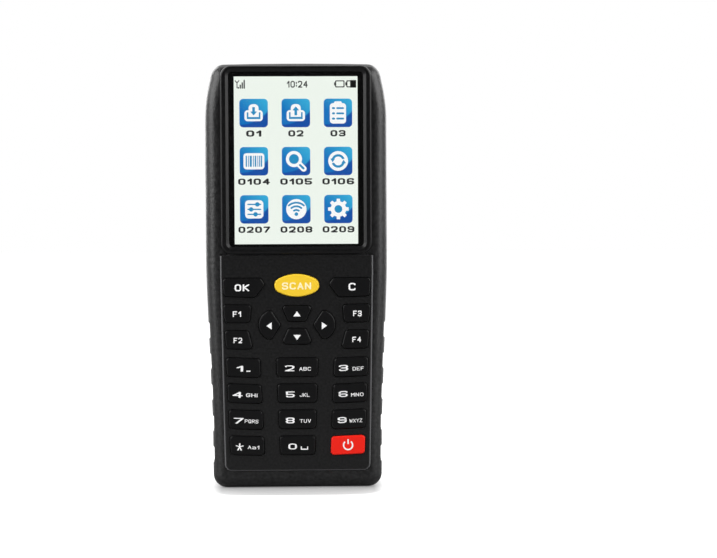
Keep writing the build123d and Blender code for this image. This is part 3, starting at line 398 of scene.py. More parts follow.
# %% Dress the frame
shell = spark_eroded_abs()
# The third value is a painted highlight for faces that turn away from the front: strong on the
# panel, faint on the bezel.
panel_plastic = satin_abs("satin_abs", "#151516", "#5A5A5C", 0.35)
bezel_plastic = satin_abs("bezel_abs", "#0E0E0F", "#131314", 0.22)
door_plastic = door_abs()
black_silicone = coated_silicone("black_silicone", "#040405")
yellow_silicone = coated_silicone("yellow_silicone", "#F2C932")
red_silicone = coated_silicone("red_silicone", "#EC2012")
lens = clear_acrylic()
scan_pane = dyed_acrylic()
rubber = moulded_rubber()
foam = cell_foam()
flat_cable = polyimide_film()
sleeve = shrink_sleeve()
board = solder_mask()
chip = mould_compound("chip_compound", "#161618")
connector_plastic = mould_compound("connector_nylon", "#1D1D1E")
display_frame = mould_compound("display_frame_black", "#0C0C0D")
engine_plastic = mould_compound("engine_housing_black", "#131314")
tinned_steel = plated_metal("tinned_steel", "#B9B9B4", 0.28, 0.42)
stainless = plated_metal("stainless_steel", "#A8A9AB", 0.22, 0.34)
zinc_screw = plated_metal("black_zinc_steel", "#3A3A3D", 0.32, 0.45)
gold = plated_metal("gold_plating", "#D9A441", 0.18, 0.28)
optic = plated_metal("coated_optic", "#2C2440", 0.05, 0.1)

finish_of = {
    "front_housing": shell, "rear_housing": shell,
    "screen_bezel": bezel_plastic, "face_panel": panel_plastic,
    "battery_door": door_plastic, "battery_latch": bezel_plastic,
    "port_cover": rubber, "housing_seal": rubber, "door_seal": rubber,
    "display_window": lens, "scan_window": scan_pane,
    "window_tape": foam, "lcd_cushion": foam,
    "lcd_module": display_frame, "lcd_flex": flat_cable, "scan_flex": flat_cable,
    "keypad_mat": black_silicone, "key_domes": stainless,
    "main_board": board, "board_chips": chip, "buzzer": chip,
    "processor_shield": tinned_steel, "radio_shield": tinned_steel,
    "backup_cell": stainless, "radio_antenna": flat_cable,
    "usb_connector": stainless, "battery_connector": connector_plastic,
    "battery_contacts": gold, "battery_pack": sleeve,
    "door_hinge_pin": stainless, "port_cover_pin": stainless,
    "scan_engine": engine_plastic, "scan_optics": optic, "scan_bracket": stainless,
    "housing_screws": zinc_screw, "board_screws": zinc_screw, "scan_screws": zinc_screw,
    "key_scan": yellow_silicone, "key_power": red_silicone,
}
for name, piece in nodes.items():
    piece.data.materials.clear()
    piece.data.materials.append(finish_of.get(name, black_silicone))
print(f"dressed {len(nodes)} nodes in {len(set(finish_of.values()))} finishes")

# %% [markdown]
# ## Flat pieces
# Ink, pixels and legends are very thin plates that stand upright and face the user. They are made
# from outlines in millimetres, X across and Z up, pushed from a back depth to a front depth.
# A plate that overlaps another of its group starts a hair further forward, so no two faces
# coincide.


# %% Flat pieces
def finish_mesh(name, mesh, finish, body):
    """Link a mesh as a piece with a finish, a body and a material slot."""
    piece = bpy.data.objects.new(name, mesh)
    scene.collection.objects.link(piece)
    mesh.materials.clear()
    mesh.materials.append(finish)
    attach(piece, body)
    return piece


def add_plate(bm, outline, front, back):
    """One plate from a closed outline."""
    front_loop = [bm.verts.new((x * mm, front * mm, z * mm)) for x, z in outline]
    back_loop = [bm.verts.new((x * mm, back * mm, z * mm)) for x, z in outline]
    bm.faces.new(front_loop)
    bm.faces.new(list(reversed(back_loop)))
    for i in range(len(outline)):
        j = (i + 1) % len(outline)
        bm.faces.new((front_loop[j], front_loop[i], back_loop[i], back_loop[j]))


def add_band(bm, left, right, front, back, closed=True):
    """A band between two edges of as many points: a ring, or a strip with two ends."""
    loops = [[bm.verts.new((x * mm, y * mm, z * mm)) for x, z in edge]
             for edge, y in ((left, front), (right, front), (right, back), (left, back))]
    count = len(left)
    for i in range(count if closed else count - 1):
        j = (i + 1) % count
        for a in range(4):
            b = (a + 1) % 4
            bm.faces.new((loops[a][i], loops[a][j], loops[b][j], loops[b][i]))
    if not closed:
        for i in (0, count - 1):
            bm.faces.new([loop[i] for loop in loops])


def plates(name, outlines, front, back, finish, body, step=0.0, bands=()):
    """Several plates and bands as one piece, each next one a step further forward."""
    bm = bmesh.new()
    for index, outline in enumerate(outlines):
        add_plate(bm, outline, front - index * step, back)
    for index, (left, right, closed) in enumerate(bands):
        add_band(bm, left, right, front - index % 4 * step, back, closed)
    bmesh.ops.recalc_face_normals(bm, faces=bm.faces)
    mesh = bpy.data.meshes.new(name)
    bm.to_mesh(mesh)
    bm.free()
    return finish_mesh(name, mesh, finish, body)


def arc(x, z, radius, start, end, steps=8):
    """Points on an arc, angles in degrees, counterclockwise as the user sees it."""
    angles = [math.radians(start + (end - start) * i / steps) for i in range(steps + 1)]
    return [(x + radius * math.cos(a), z + radius * math.sin(a)) for a in angles]


def disc(x, z, radius):
    """Round outline."""
    return arc(x, z, radius, 0, 360, 24)[:-1]


def rounded(x, z, width, height, corner, steps=5):
    """Rounded rectangle about a middle."""
    right = x + width / 2 - corner
    left = x - width / 2 + corner
    top = z + height / 2 - corner
    low = z - height / 2 + corner
    return (arc(right, top, corner, 0, 90, steps) + arc(left, top, corner, 90, 180, steps)
            + arc(left, low, corner, 180, 270, steps) + arc(right, low, corner, 270, 360, steps))


def bar(x0, z0, x1, z1, width):
    """Straight stroke with round ends between two points."""
    lean = math.degrees(math.atan2(z1 - z0, x1 - x0))
    return (arc(x1, z1, width / 2, lean - 90, lean + 90, 6)
            + arc(x0, z0, width / 2, lean + 90, lean + 270, 6))


def shift(outline, x, z):
    """An outline moved to a middle."""
    return [(x + px, z + pz) for px, pz in outline]


# %% [markdown]
# ## Lettering
# The legends are set in plain strokes of one weight, like the lettering of a routing machine. Each
# glyph stands on a grid of four columns and six rows. Two digits are a point, a space draws on to
# the next point, and a comma lifts the pen. A font would also do, but a word that is drawn here can
# be stretched to the wide shape that keypads have, and its strokes grow wide with it.

# %% Glyphs
glyphs = {
    "0": "20 40 46 06 00 20", "1": "04 26,26 20", "2": "05 06 46 43 00,00 40",
    "3": "05 06 46 43 13,13 43 40 00 01", "4": "30 36,36 02,02 42",
    "5": "46 06,06 03,03 43 40 00 01", "6": "45 46 06 00 40 43 03", "7": "06 46,46 10",
    "8": "26 46 43 03 06 26,23 43 40 00 03 23", "9": "01 00 40 46 06 03 43",
    "*": "23 26,23 04,23 44,23 10,23 30", ":": "01 02,04 05",
    "A": "00 26,26 40,12 32", "B": "00 06,06 46 43 03,03 43 40 00", "C": "45 46 06 00 40 41",
    "D": "00 06,06 46 40 00", "E": "46 06,06 00,00 40,03 33", "F": "46 06,06 00,03 33",
    "G": "45 46 06 00 40 43,43 23", "H": "00 06,40 46,03 43", "I": "00 06", "J": "46 40 00 02",
    "K": "00 06,46 03,13 40", "L": "06 00,00 40", "M": "00 06,06 23,23 46,46 40",
    "N": "00 06,06 40,40 46", "O": "20 40 46 06 00 20", "P": "00 06,06 46 43 03",
    "Q": "20 40 46 06 00 20,22 40", "R": "00 06,06 46 43 03,23 40", "S": "45 46 06 03 43 40 00 01",
    "T": "06 46,26 20", "U": "06 00 40 46", "V": "06 20,20 46", "W": "06 10,10 25,25 40,40 56",
    "X": "00 46,06 40", "Y": "06 23,46 23,23 20", "Z": "06 46,46 00,00 40",
    "a": "04 44 40,42 02 00 40",
}
grid_rows = 6
print(f"glyphs: {len(glyphs)}")

# %% [markdown]
# A stroke becomes a flat band. Its inner corners are rounded first, then both edges are set off to
# the sides of the path, and a quarter circle closes each open end. At last the word is stretched
# from the glyph grid to its real size and turned with the key that it stands on.

# %% Lettering
corner_reach = 1.8
letter_gap = 1.2
stroke_step = 0.003
curve_steps = (0, 0.25, 0.5, 0.75, 1)


def soften(path):
    """The points of a stroke with each inner corner rounded, and whether it is a ring."""
    points = [Vector(point) for point in path]
    last = len(points) - 1
    ring = points[0] == points[last]
    soft = [points[0]]
    for index in range(1, last):
        corner = points[index]
        before = points[index - 1] - corner
        after = points[index + 1] - corner
        reach = min(corner_reach, before.length * (1.0 if index == 1 else 0.5),
                    after.length * (1.0 if index == last - 1 else 0.5))
        start = corner + before.normalized() * reach
        end = corner + after.normalized() * reach
        curve = [start.lerp(corner, t).lerp(corner.lerp(end, t), t) for t in curve_steps]
        soft += [point for point in curve if (point - soft[-1]).length > 0.01]
    if not ring and (points[last] - soft[-1]).length > 0.01:
        soft.append(points[last])
    return soft, ring


def stroke_edges(path, weight):
    """Both edges of a stroke along a path, with round ends."""
    points, ring = soften(path)
    count = len(points)
    spine = []
    for index, point in enumerate(points):
        before = points[index - 1] if ring or index else point
        after = points[(index + 1) % count] if ring or index < count - 1 else point
        spine.append((point, (after - before).normalized(), weight / 2))
    if not ring:
        first, start_way, half = spine[0]
        last, end_way, half = spine[-1]
        for lean in (math.radians(a) for a in (25, 50, 75)):
            reach, narrow = half * math.sin(lean), half * math.cos(lean)
            spine.insert(0, (first - start_way * reach, start_way, narrow))
            spine.append((last + end_way * reach, end_way, narrow))
    left = [point + Vector((-way.y, way.x)) * half for point, way, half in spine]
    right = [point - Vector((-way.y, way.x)) * half for point, way, half in spine]
    return left, right, ring


def lettering(name, text, middle, width, height, front, depth, finish, body, weight,
              tilt=0.0):
    """A word stretched to a width and height in millimetres, and turned by tilt degrees."""
    strokes = []
    pen = 0.0
    for letter in text:
        paths = [[(pen + int(pair[0]), int(pair[1])) for pair in path.split()]
                 for path in glyphs[letter].split(",")]
        strokes += [stroke_edges(path, weight) for path in paths]
        pen = max(x for path in paths for x, z in path) + weight + letter_gap
    reach = pen - letter_gap
    turn = Matrix.Rotation(math.radians(tilt), 2)

    def place(point):
        u = ((point.x + weight / 2) / reach - 0.5) * width
        v = ((point.y + weight / 2) / (grid_rows + weight) - 0.5) * height
        return tuple(turn @ Vector((u, v)) + Vector(middle))

    bands = [([place(point) for point in left], [place(point) for point in right], ring)
             for left, right, ring in strokes]
    return plates(name, [], front, front + depth, finish, body, stroke_step, bands)


# %% [markdown]
# ## Key legends
# The legends are printed in white on each key, so they ride with it. The number keys carry a wide
# bold digit left of the middle and the usual small letters right of it. The side columns lean with
# the tapering handle, and their legends lean with them.

# %% Key legends
white_ink = legend_ink("white_legend_ink", "#F4F4F4")
cream_ink = legend_ink("cream_legend_ink", "#FFF3C4")
ink_depth = 0.03
digit_height = 2.25
digit_weight = 1.15
digit_rise = -0.35
star_height = 2.8
star_weight = 0.8
letters_height = 1.4
letters_weight = 1.0
letters_rise = -0.6
word_weight = 1.3
column_lean = 2.4
number_legends = {  # digit: width, place across; letters: text, width, place across
    "1": (2.6, -1.4, "", 0, 0), "2": (3.7, -2.9, "ABC", 4.5, 3.0),
    "3": (3.6, -2.9, "DEF", 4.4, 2.8), "4": (4.0, -2.7, "GHI", 4.4, 2.7),
    "5": (3.4, -2.7, "JKL", 3.8, 2.8), "6": (3.5, -2.65, "MNO", 4.8, 2.8),
    "7": (3.9, -2.85, "PQRS", 5.2, 2.15), "8": (3.4, -2.8, "TUV", 4.3, 3.0),
    "9": (3.5, -2.65, "WXYZ", 4.9, 2.6), "star": (3.1, -2.9, "Aa1", 4.4, 2.4),
    "0": (3.3, -1.95, "", 0, 0),
}


def key_front(node):
    """Depth of a key's face in millimetres."""
    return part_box(node)[0].y / mm


def key_middle(node):
    """Middle of a key as the user sees it, (x, z) in millimetres."""
    low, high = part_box(node)
    return ((low.x + high.x) / 2 / mm, (low.z + high.z) / 2 / mm)


def legend(node, part, text, middle, width, height, weight, tilt=0.0, ink=white_ink):
    """A word or digit printed on a key."""
    front = key_front(node) - ink_depth
    lettering(f"legend_{node}_{part}", text, middle, width, height, front, 2 * ink_depth, ink,
              node, weight, tilt)


def symbol(node, part, outlines):
    """Plain outlines printed in white on a key."""
    front = key_front(node)
    plates(f"legend_{node}_{part}", outlines, front - ink_depth, front + ink_depth, white_ink,
           node, stroke_step)


for number, (width, across, letters, letters_width, letters_across) in number_legends.items():
    node = f"key_{number}"
    x, z = key_middle(node)
    tilt = 0.0 if abs(x) < 1 else math.copysign(column_lean, x)
    digit = "*" if number == "star" else number
    height, weight = (star_height, star_weight) if digit == "*" else (digit_height, digit_weight)
    legend(node, "digit", digit, (x + across, z + digit_rise), width, height, weight, tilt)
    if letters:
        legend(node, "letters", letters, (x + letters_across, z + letters_rise), letters_width,
               letters_height, letters_weight, tilt)
print("number legends:", len(number_legends))

# %% [markdown]
# The one key shows a low line and the zero key the space sign, an open box. The words on the
# function keys are the plain ones that such keypads share, and the arrows are solid triangles.

# %% Function legends
line_x, line_z = key_middle("key_1")
symbol("key_1", "line", [rounded(line_x + 1.9, line_z - 1.35, 1.5, 0.45, 0.1)])

space_x, space_z = key_middle("key_0")
space_middle = space_x + 2.6
space_width = 2.8
space_stroke = 0.4
space_low = space_z - 1.45
space_high = space_z - 0.35
space_sides = [space_middle + side * (space_width - space_stroke) / 2 for side in (-1, 1)]
symbol("key_0", "space",
       [rounded(space_middle, space_low, space_width, space_stroke, 0.1)]
       + [rounded(x, (space_low + space_high) / 2, space_stroke, space_high - space_low, 0.1)
          for x in space_sides])

word_legends = [
    ("key_ok", "OK", (-21.0, 77.6), 5.6, 2.7, white_ink),
    ("key_scan", "SCAN", (-0.1, 78.2), 11.2, 2.7, cream_ink),
    ("key_cancel", "C", (21.2, 77.8), 2.7, 2.9, white_ink),
    ("key_f1", "F1", (-23.0, 67.5), 3.2, 2.2, white_ink),
    ("key_f3", "F3", (23.2, 67.5), 3.3, 2.2, white_ink),
    ("key_f2", "F2", (-22.7, 57.4), 3.3, 2.1, white_ink),
    ("key_f4", "F4", (22.9, 57.5), 3.4, 2.1, white_ink),
]
for node, word, middle, width, height, ink in word_legends:
    legend(node, "word", word, middle, width, height, word_weight, ink=ink)

arrow_half = 1.4
arrow_rise = 2.0
arrows = {
    "key_up": ((0.0, 67.5), 90), "key_down": ((0.0, 58.4), 270),
    "key_left": ((-10.7, 62.9), 180), "key_right": ((10.5, 62.9), 0),
}
for node, ((x, z), heading) in arrows.items():
    turn = Matrix.Rotation(math.radians(heading), 2)
    corners = [(arrow_rise / 2, 0), (-arrow_rise / 2, arrow_half), (-arrow_rise / 2, -arrow_half)]
    symbol(node, "arrow", [[tuple(turn @ Vector(c) + Vector((x, z))) for c in corners]])
print(f"function legends: {len(word_legends)} words, {len(arrows)} arrows")

# %% [markdown]
# The power key carries the standard sign: a ring with a gap at the top, and a stroke through it.

# %% Power sign
power_x, power_z = key_middle("key_power")
power_radius = 1.75
power_stroke = 0.55
ring_start = 130
ring_end = 410
ring_outer = arc(power_x, power_z, power_radius + power_stroke / 2, ring_start, ring_end, 24)
ring_inner = arc(power_x, power_z, power_radius - power_stroke / 2, ring_end, ring_start, 24)
symbol("key_power", "sign",
       [ring_outer + ring_inner, rounded(power_x, power_z + 1.35, power_stroke, 1.9, 0.2)])
print(f"power sign: {2 * power_radius:.1f} mm wide")

# %% [markdown]
# ## Display
# Behind the lens lies the display. Its lit area is 48.6 by 64.8 mm. The picture is built in thin
# layers between the glass of the display and the back of the lens. The lens has a black border
# printed on its back, which laps over the edge of the lit area.

# %% Lens border and lit area
lit_half = 24.3
lit_low = 93.9
lit_high = 158.7
lcd_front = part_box("lcd_module")[0].y / mm
lens_low, lens_high = [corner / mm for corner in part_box("display_window")]
border_ink = lens_border_ink()
border_side_lap = 0.65
border_end_lap = 0.35
border_inset = 0.2
border_front = lens_high.y - 0.05
border_back = lens_high.y - 0.02
lit_middle = (lit_low + lit_high) / 2
border_outer = rounded(0, (lens_low.z + lens_high.z) / 2,
                       lens_high.x - lens_low.x - 2 * border_inset,
                       lens_high.z - lens_low.z - 2 * border_inset, 1.2)
border_inner = rounded(0, lit_middle, 2 * (lit_half - border_side_lap),
                       lit_high - lit_low - 2 * border_end_lap, 0.2)
plates("lens_border", [], border_front, border_back, border_ink, "housing",
       bands=[(border_outer, border_inner, True)])

layer = 0.05
screen_white = lit_pixels("screen_white", "#F4FCF3")
screen_grey = lit_pixels("screen_grey", "#1C1D1F")
screen_black = lit_pixels("screen_black", "#060606")
plates("screen_page", [rounded(0, lit_middle, 2 * lit_half, lit_high - lit_low, 0.1, 1)],
       lcd_front - layer, lcd_front, screen_white, "housing")
print(f"display: {2 * lit_half:.1f} x {lit_high - lit_low:.1f} mm lit")

# %% [markdown]
# Nine tiles stand on the page, three by three. Each is a rounded square, light blue above and
# deeper blue below a curved gloss line. The gloss line is a circle about a point outside the tile,
# so the shader measures the distance to that point in the tile's own coordinates.


# %% Tiles
tile = 10.9
tile_corner = 1.5
column_pitch = 16.13
row_pitch = 18.4
first_row_down = 14.3
gloss_centre = (-5.0 * mm, 0.0, 8.8 * mm)
gloss_radius = 13.2 * mm
gloss_blur = 0.2 * mm


def glossy_tile_pixels():
    """Blue tile with a gloss: a slanting and an upright gradient, split by a circle."""
    made, tree, shader = new_finish("screen_tile", {
        "Base Color": colour("#050505"), "Roughness": 0.3, "Emission Strength": 1.0})
    place = add_node(tree, "ShaderNodeTexCoord")
    parts = add_node(tree, "ShaderNodeSeparateXYZ", links={"Vector": place.outputs["Object"]})
    rise = add_node(tree, "ShaderNodeMapRange", {
        "From Min": -tile / 2 * mm, "From Max": tile / 2 * mm}, {"Value": parts.outputs["Z"]})
    slant = add_node(tree, "ShaderNodeMath", links={
        0: parts.outputs["X"], 1: parts.outputs["Z"]}, operation="ADD")
    shine = add_node(tree, "ShaderNodeMapRange", {
        "From Min": -tile / 3 * mm, "From Max": tile * mm}, {"Value": slant.outputs["Value"]})
    above = add_node(tree, "ShaderNodeMix", {"A": colour("#0872C0"), "B": colour("#36B4E0")},
                     {"Factor": shine.outputs["Result"]}, data_type="RGBA")
    below = add_node(tree, "ShaderNodeMix", {"A": colour("#084CA6"), "B": colour("#0458A6")},
                     {"Factor": rise.outputs["Result"]}, data_type="RGBA")
    reach = add_node(tree, "ShaderNodeVectorMath", {1: gloss_centre},
                     {0: place.outputs["Object"]}, operation="DISTANCE")
    edge = add_node(tree, "ShaderNodeMapRange", {
        "From Min": gloss_radius - gloss_blur, "From Max": gloss_radius + gloss_blur},
        {"Value": reach.outputs["Value"]})
    blend = add_node(tree, "ShaderNodeMix", links={
        "Factor": edge.outputs["Result"], "A": above.outputs[2], "B": below.outputs[2]},
        data_type="RGBA")
    tree.links.new(blend.outputs[2], shader.inputs["Emission Color"])
    return made


tile_finish = glossy_tile_pixels()
tile_front = lcd_front - 2 * layer
tile_middles = [((column - 1) * column_pitch, lit_high - first_row_down - row * row_pitch)
                for row in range(3) for column in range(3)]
for index, (x, z) in enumerate(tile_middles):
    piece = plates(f"screen_tile_{index + 1}", [rounded(0, 0, tile, tile, tile_corner)],
                   -layer, 0.0, tile_finish, "housing")
    piece.location = Vector((x, tile_front + layer, z)) * mm
print(f"tiles: {len(tile_middles)}, {tile:.1f} mm wide")

# %% [markdown]
# On each tile lies a plain white sign with blue details: goods in, goods out, a check list, a
# barcode, a magnifier, a cycle, sliders, radio waves and a gear wheel. Each sign is a list of
# simple outlines about the middle of its tile, white ones first and blue ones on top.

# %% Sign outlines
tray = [(-2.6, 0.3), (-2.0, 0.3), (-2.0, -1.5), (2.0, -1.5), (2.0, 0.3), (2.6, 0.3),
        (2.6, -2.3), (-2.6, -2.3)]


def arrow(z_tail, z_tip):
    """Upright arrow with a wide head."""
    way = math.copysign(1, z_tip - z_tail)
    head = z_tip - 1.5 * way
    return [(-0.5, z_tail), (-0.5, head), (-1.3, head), (0, z_tip), (1.3, head), (0.5, head),
            (0.5, z_tail)]


def gear(root, tip, count):
    """Outline of a toothed wheel, from the radius between its teeth and that of their tips."""
    pitch = 360 / count
    points = []
    for index in range(count):
        for share, reach in ((-0.3, root), (-0.2, tip), (0.2, tip), (0.3, root)):
            turn = math.radians((index + share) * pitch)
            points.append((reach * math.cos(turn), reach * math.sin(turn)))
    return points


def ring_part(z, inner, outer, start, end):
    """Part of a ring about a point on the tile's middle line."""
    return arc(0, z, outer, start, end, 10) + arc(0, z, inner, end, start, 10)


box_outlines = [rounded(0, -1.0, 7.0, 4.2, 1.2), rounded(0, 1.3, 3.8, 4.2, 1.5)]
check_rows = (1.8, -0.2, -2.2)
code_bars = ((-2.9, 0.5), (-2.1, 0.3), (-1.2, 0.8), (-0.2, 0.3), (0.6, 0.6), (1.5, 0.3),
             (2.2, 0.4), (2.9, 0.5))
slider_knobs = ((1.2, 1.9), (-1.2, 0.0), (0.5, -1.9))
wave_foot = -1.9
wave_radii = (1.6, 3.0, 4.4)
wave_half = 0.35
print(f"barcode sign: {len(code_bars)} bars")

# %% [markdown]
# Each sign becomes two pieces: its white plates lie on the tile, and its blue details one layer
# further forward on the white.

# %% Signs
signs = [
    (box_outlines, [tray, arrow(2.3, -0.9)]),
    (box_outlines, [tray, arrow(-0.9, 2.5)]),
    ([rounded(0, -0.2, 6.2, 7.8, 1.2), rounded(0, 3.6, 3.0, 1.6, 0.6)],
     [bar(-1.9, z, -1.5, z, 0.8) for z in check_rows]
     + [bar(-0.3, z, 2.0, z, 0.7) for z in check_rows]),
    ([rounded(0, 0, 8.0, 6.2, 1.2)], [rounded(x, 0, w, 4.2, 0.05, 1) for x, w in code_bars]),
    ([disc(-0.8, 0.8, 3.1), bar(1.2, -1.2, 2.9, -2.9, 2.3)],
     [disc(-0.8, 0.8, 1.9), bar(1.5, -1.5, 2.8, -2.8, 0.8)]),
    ([disc(0, 0, 3.8)],
     [ring_part(0, 1.7, 2.6, 20, 160), ring_part(0, 1.7, 2.6, 200, 340),
      [(-3.0, 0.9), (-1.2, 0.9), (-2.1, -0.5)], [(3.0, -0.9), (1.2, -0.9), (2.1, 0.5)]]),
    ([rounded(0, 0, 7.0, 7.0, 1.4)],
     [bar(-2.4, z, 2.4, z, 0.5) for x, z in slider_knobs]
     + [disc(x, z, 0.85) for x, z in slider_knobs]),
    ([disc(0, 0, 3.9)],
     [ring_part(wave_foot, r - wave_half, r + wave_half, 45, 135) for r in wave_radii]
     + [disc(0, wave_foot, 0.7)]),
    ([gear(3.0, 4.0, 8)], [disc(0, 0, 1.5)]),
]
sign_white = lit_pixels("screen_sign_white", "#FFFFFF")
sign_blue = lit_pixels("screen_sign_blue", "#1F8FC4")
sign_front = tile_front - layer
sign_step = 0.004
for index, (whites, blues) in enumerate(signs):
    middle = tile_middles[index]
    plates(f"screen_sign_{index + 1}", [shift(outline, *middle) for outline in whites],
           sign_front, sign_front + layer, sign_white, "housing", sign_step)
    plates(f"screen_detail_{index + 1}", [shift(outline, *middle) for outline in blues],
           sign_front - layer, sign_front, sign_blue, "housing", sign_step)
print(f"signs: {len(signs)}")

# %% [markdown]
# Under each tile stands a plain number as its label, two digits in the first row and four in the
# others.

# %% Labels
label_drop = 7.8
label_height = 2.4
label_widths = [5.8, 12.2, 12.2]
label_weight = 1.7
text_front = lcd_front - 2 * layer
for index, (x, z) in enumerate(tile_middles):
    row = index // 3
    text = f"{index + 1:02d}" if row == 0 else f"{row:02d}{index + 1:02d}"
    lettering(f"screen_label_{index + 1}", text, (x, z - label_drop), label_widths[row],
              label_height, text_front, layer, screen_grey, "housing",
              label_weight)
print(f"labels: {len(tile_middles)}")

# %% [markdown]
# The status line holds an aerial with four rising signal bars, the clock, and two battery signs, of
# which the second is half full.

# %% Status line
status_z = lit_high - 3.25
lettering("screen_clock", "10:24", (0.6, status_z - 0.1), 8.0, 2.6, text_front, layer,
          screen_grey, "housing", 1.25)

bar_left = -21.9
bar_pitch = 0.75
bar_foot = status_z - 1.7
bar_short = 0.6
bar_growth = 0.9
signal_bars = []
for index in range(4):
    tall = bar_short + bar_growth * index
    signal_bars.append(rounded(bar_left + bar_pitch * index, bar_foot + tall / 2, 0.5, tall,
                               0.05, 1))
mast_x = -22.4
mast_fork = status_z + 0.5
mast_stroke = 0.35
signal_bars.append(bar(mast_x, bar_foot + 0.3, mast_x, status_z + 0.6, mast_stroke))
for side in (-0.7, 0.7):
    signal_bars.append(bar(mast_x + side, status_z + 1.3, mast_x, mast_fork, mast_stroke))
plates("screen_signal", signal_bars, text_front, text_front + layer, screen_grey, "housing")

cell_middles = [16.9, 21.2]
for index, x in enumerate(cell_middles):
    plates(f"screen_cell_{index + 1}", [rounded(x - 2.0, status_z, 0.4, 1.2, 0.1, 1)],
           text_front, text_front + layer, screen_grey, "housing",
           bands=[(rounded(x, status_z, 3.6, 2.7, 0.4), rounded(x, status_z, 2.8, 1.9, 0.2),
                   True)])
plates("screen_cell_level", [rounded(22.0, status_z, 2.3, 2.9, 0.1, 1)], text_front - layer / 4,
       text_front + layer / 2, screen_black, "housing")
print(f"status line: {lit_high - status_z:.1f} mm below the top of the lit area")

# %% [markdown]
# ## Studio
# The terminal stands on a white table against white. A black object shows its shape by its edges,
# so two large soft boxes stand beside it, well round to the sides: they draw a band of light along
# each rounded edge and reach the front only at a slant, where black plastic reflects little. Two
# boxes behind it draw the thin rim on the outline and show the back to a camera that goes round. A
# fifth box high above draws the line on the top edge.

# %% Lights
def soft_box(name, place, target, width, height, power):
    """Rectangular area light aimed at a point."""
    data = bpy.data.lights.new(name, "AREA")
    data.shape = "RECTANGLE"
    data.size = width
    data.size_y = height
    data.energy = power
    made = bpy.data.objects.new(name, data)
    made.location = place
    made.rotation_euler = (Vector(target) - Vector(place)).to_track_quat("-Z", "Z").to_euler()
    scene.collection.objects.link(made)


object_middle = (0.0, 0.0, cad_box[1].z / 2)
object_top = (0.0, 0.0, cad_box[1].z)
box_distance = 0.62
box_height = 0.38
box_tall = 0.66
standing_boxes = [  # name, turn from the front in degrees, width in metres, power in watts
    ("left_box", -65, 0.55, 6.6), ("right_box", 65, 0.55, 5.95),
    ("rear_left_box", -140, 0.45, 3.5), ("rear_right_box", 140, 0.45, 2.8),
]
for name, turn, width, power in standing_boxes:
    place = (box_distance * math.sin(math.radians(turn)),
             -box_distance * math.cos(math.radians(turn)), box_height)
    soft_box(name, place, object_middle, width, box_tall, power)
soft_box("top_box", (0.0, 0.28, 0.8), object_top, 0.6, 0.3, 1.2)
print(f"soft boxes: {len(standing_boxes) + 1}")

# %% [markdown]
# The world adds a weak grey light from all round. Seen by the camera it is plain white, which costs
# the object no extra light. Gloss and glass see the white too where they look back at the backdrop,
# and the dim room where they look to the front: a room that is white all round would turn the black
# parts grey.

# %% World
world = bpy.data.worlds.new("studio")
scene.world = world
world.use_nodes = True
sky = world.node_tree
sky.nodes.clear()


def seen_white(tree, behind):
    """How much of the white backdrop a ray sees: all from the camera, else only behind."""
    ray = add_node(tree, "ShaderNodeLightPath")
    gloss = add_node(tree, "ShaderNodeMath", links={
        0: ray.outputs["Is Glossy Ray"], 1: ray.outputs["Is Transmission Ray"]},
        operation="MAXIMUM")
    bounced = add_node(tree, "ShaderNodeMath", links={0: gloss.outputs["Value"], 1: behind},
                       operation="MULTIPLY")
    return add_node(tree, "ShaderNodeMath", links={
        0: ray.outputs["Is Camera Ray"], 1: bounced.outputs["Value"]},
        operation="MAXIMUM").outputs["Value"]


white = colour("#FFFFFF")
room_strength = 0.07
sky_place = add_node(sky, "ShaderNodeTexCoord")
sky_parts = add_node(sky, "ShaderNodeSeparateXYZ",
                     links={"Vector": sky_place.outputs["Generated"]})
sky_behind = add_node(sky, "ShaderNodeMapRange", {"From Min": 0.1, "From Max": 0.5},
                      {"Value": sky_parts.outputs["Y"]})
dim_room = add_node(sky, "ShaderNodeBackground", {"Color": white, "Strength": room_strength})
backdrop = add_node(sky, "ShaderNodeBackground", {"Color": white, "Strength": 1.0})
choose = add_node(sky, "ShaderNodeMixShader", links={
    0: seen_white(sky, sky_behind.outputs["Result"]), 1: dim_room.outputs["Background"],
    2: backdrop.outputs["Background"]})
add_node(sky, "ShaderNodeOutputWorld", links={"Surface": choose.outputs["Shader"]})
print(f"world: {room_strength:.2f} of white as light from all round")

# %% [markdown]
# The table is a matt grey board that is partly lit by itself when the camera looks at it, so it
# reads as white. It lies a hair below the terminal, so that their faces don't coincide.

# %% Table
table_mesh = bpy.data.meshes.new("table")
table_half = 3.0
table_drop = -0.05 * mm
table_corners = [(x * table_half, y * table_half, table_drop)
                 for x, y in ((-1, -1), (1, -1), (1, 1), (-1, 1))]
table_mesh.from_pydata(table_corners, [], [(0, 1, 2, 3)])
table = bpy.data.objects.new("table", table_mesh)
scene.collection.objects.link(table)
table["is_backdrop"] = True
table_finish, table_tree, table_shader = new_finish("white_table", {
    "Base Color": colour("#8E8E8E"), "Roughness": 0.8, "Emission Color": white})
table_mesh.materials.append(table_finish)
print(f"table: {2 * table_half:.0f} m wide")
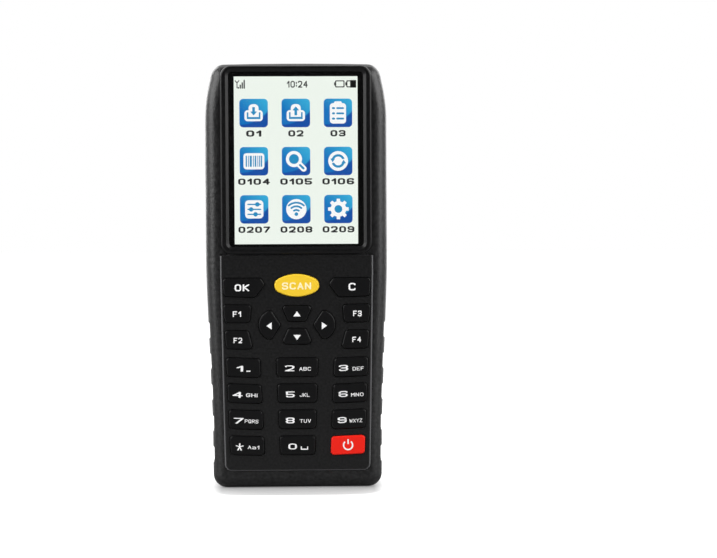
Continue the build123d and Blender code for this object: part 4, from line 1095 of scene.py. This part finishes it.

# %% [markdown]
# In a rounded patch close round the foot of the terminal the table's own light is weaker: a painted
# shadow, darker than the table round it, which adds to the shadow that the lamps cast. The patch
# ends where the sixth powers of X and Y, each divided by the half width of the patch, add up to
# about one.

# %% Shadow patch
table_place = add_node(table_tree, "ShaderNodeNewGeometry")
table_parts = add_node(table_tree, "ShaderNodeSeparateXYZ",
                       links={"Vector": table_place.outputs["Position"]})
patch_half = 33 * mm
patch_round = 6.0
shadow_near = 17 * mm
shadow_far = 30 * mm
far_glow = 0.25
painted_shadow_glow = 0.22
patch_reach = None
for axis in "XY":
    share = add_node(table_tree, "ShaderNodeMath", {1: patch_half},
                     {0: table_parts.outputs[axis]}, operation="DIVIDE")
    aside = add_node(table_tree, "ShaderNodeMath", links={0: share.outputs["Value"]},
                     operation="ABSOLUTE")
    power = add_node(table_tree, "ShaderNodeMath", {1: patch_round}, {0: aside.outputs["Value"]},
                     operation="POWER")
    if patch_reach:
        power = add_node(table_tree, "ShaderNodeMath", links={
            0: patch_reach.outputs["Value"], 1: power.outputs["Value"]}, operation="ADD")
    patch_reach = power
outside = add_node(table_tree, "ShaderNodeMapRange", {"From Min": 0.5, "From Max": 1.3},
                   {"Value": patch_reach.outputs["Value"]})
away = add_node(table_tree, "ShaderNodeMath", links={0: table_parts.outputs["Y"]},
                operation="ABSOLUTE")
before_foot = add_node(table_tree, "ShaderNodeMapRange", {
    "From Min": shadow_near, "From Max": shadow_far, "To Max": far_glow},
    {"Value": away.outputs["Value"]})
clear = add_node(table_tree, "ShaderNodeMath", links={
    0: outside.outputs["Result"], 1: before_foot.outputs["Result"]}, operation="MAXIMUM")
# Painted shadow: round the foot the table's own light drops towards the least glow.
painted_shadow_fade = add_node(table_tree, "ShaderNodeMapRange", {"To Min": painted_shadow_glow, "To Max": 1.0},
                {"Value": clear.outputs["Value"]})
table_behind = add_node(table_tree, "ShaderNodeMapRange", {
    "From Min": 0.02, "From Max": 0.2}, {"Value": table_parts.outputs["Y"]})
glow = add_node(table_tree, "ShaderNodeMath", links={
    0: seen_white(table_tree, table_behind.outputs["Result"]), 1: painted_shadow_fade.outputs["Result"]},
    operation="MULTIPLY")
table_tree.links.new(glow.outputs["Value"], table_shader.inputs["Emission Strength"])
scene.view_settings.view_transform = "Standard"
print(f"shadow patch: {2 * patch_half / mm:.0f} mm wide")

# %% [markdown]
# ## Measure
# Nothing added should make the terminal bigger than its CAD model. Both boxes are measured and
# compared, and the largest overshoot is printed.

# %% Measure and finish
visual_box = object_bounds()
growth = max(max(cad_box[0][axis] - visual_box[0][axis], visual_box[1][axis] - cad_box[1][axis])
             for axis in range(3))
print(f"pieces stand {growth / mm:.2f} mm outside the CAD box at most")
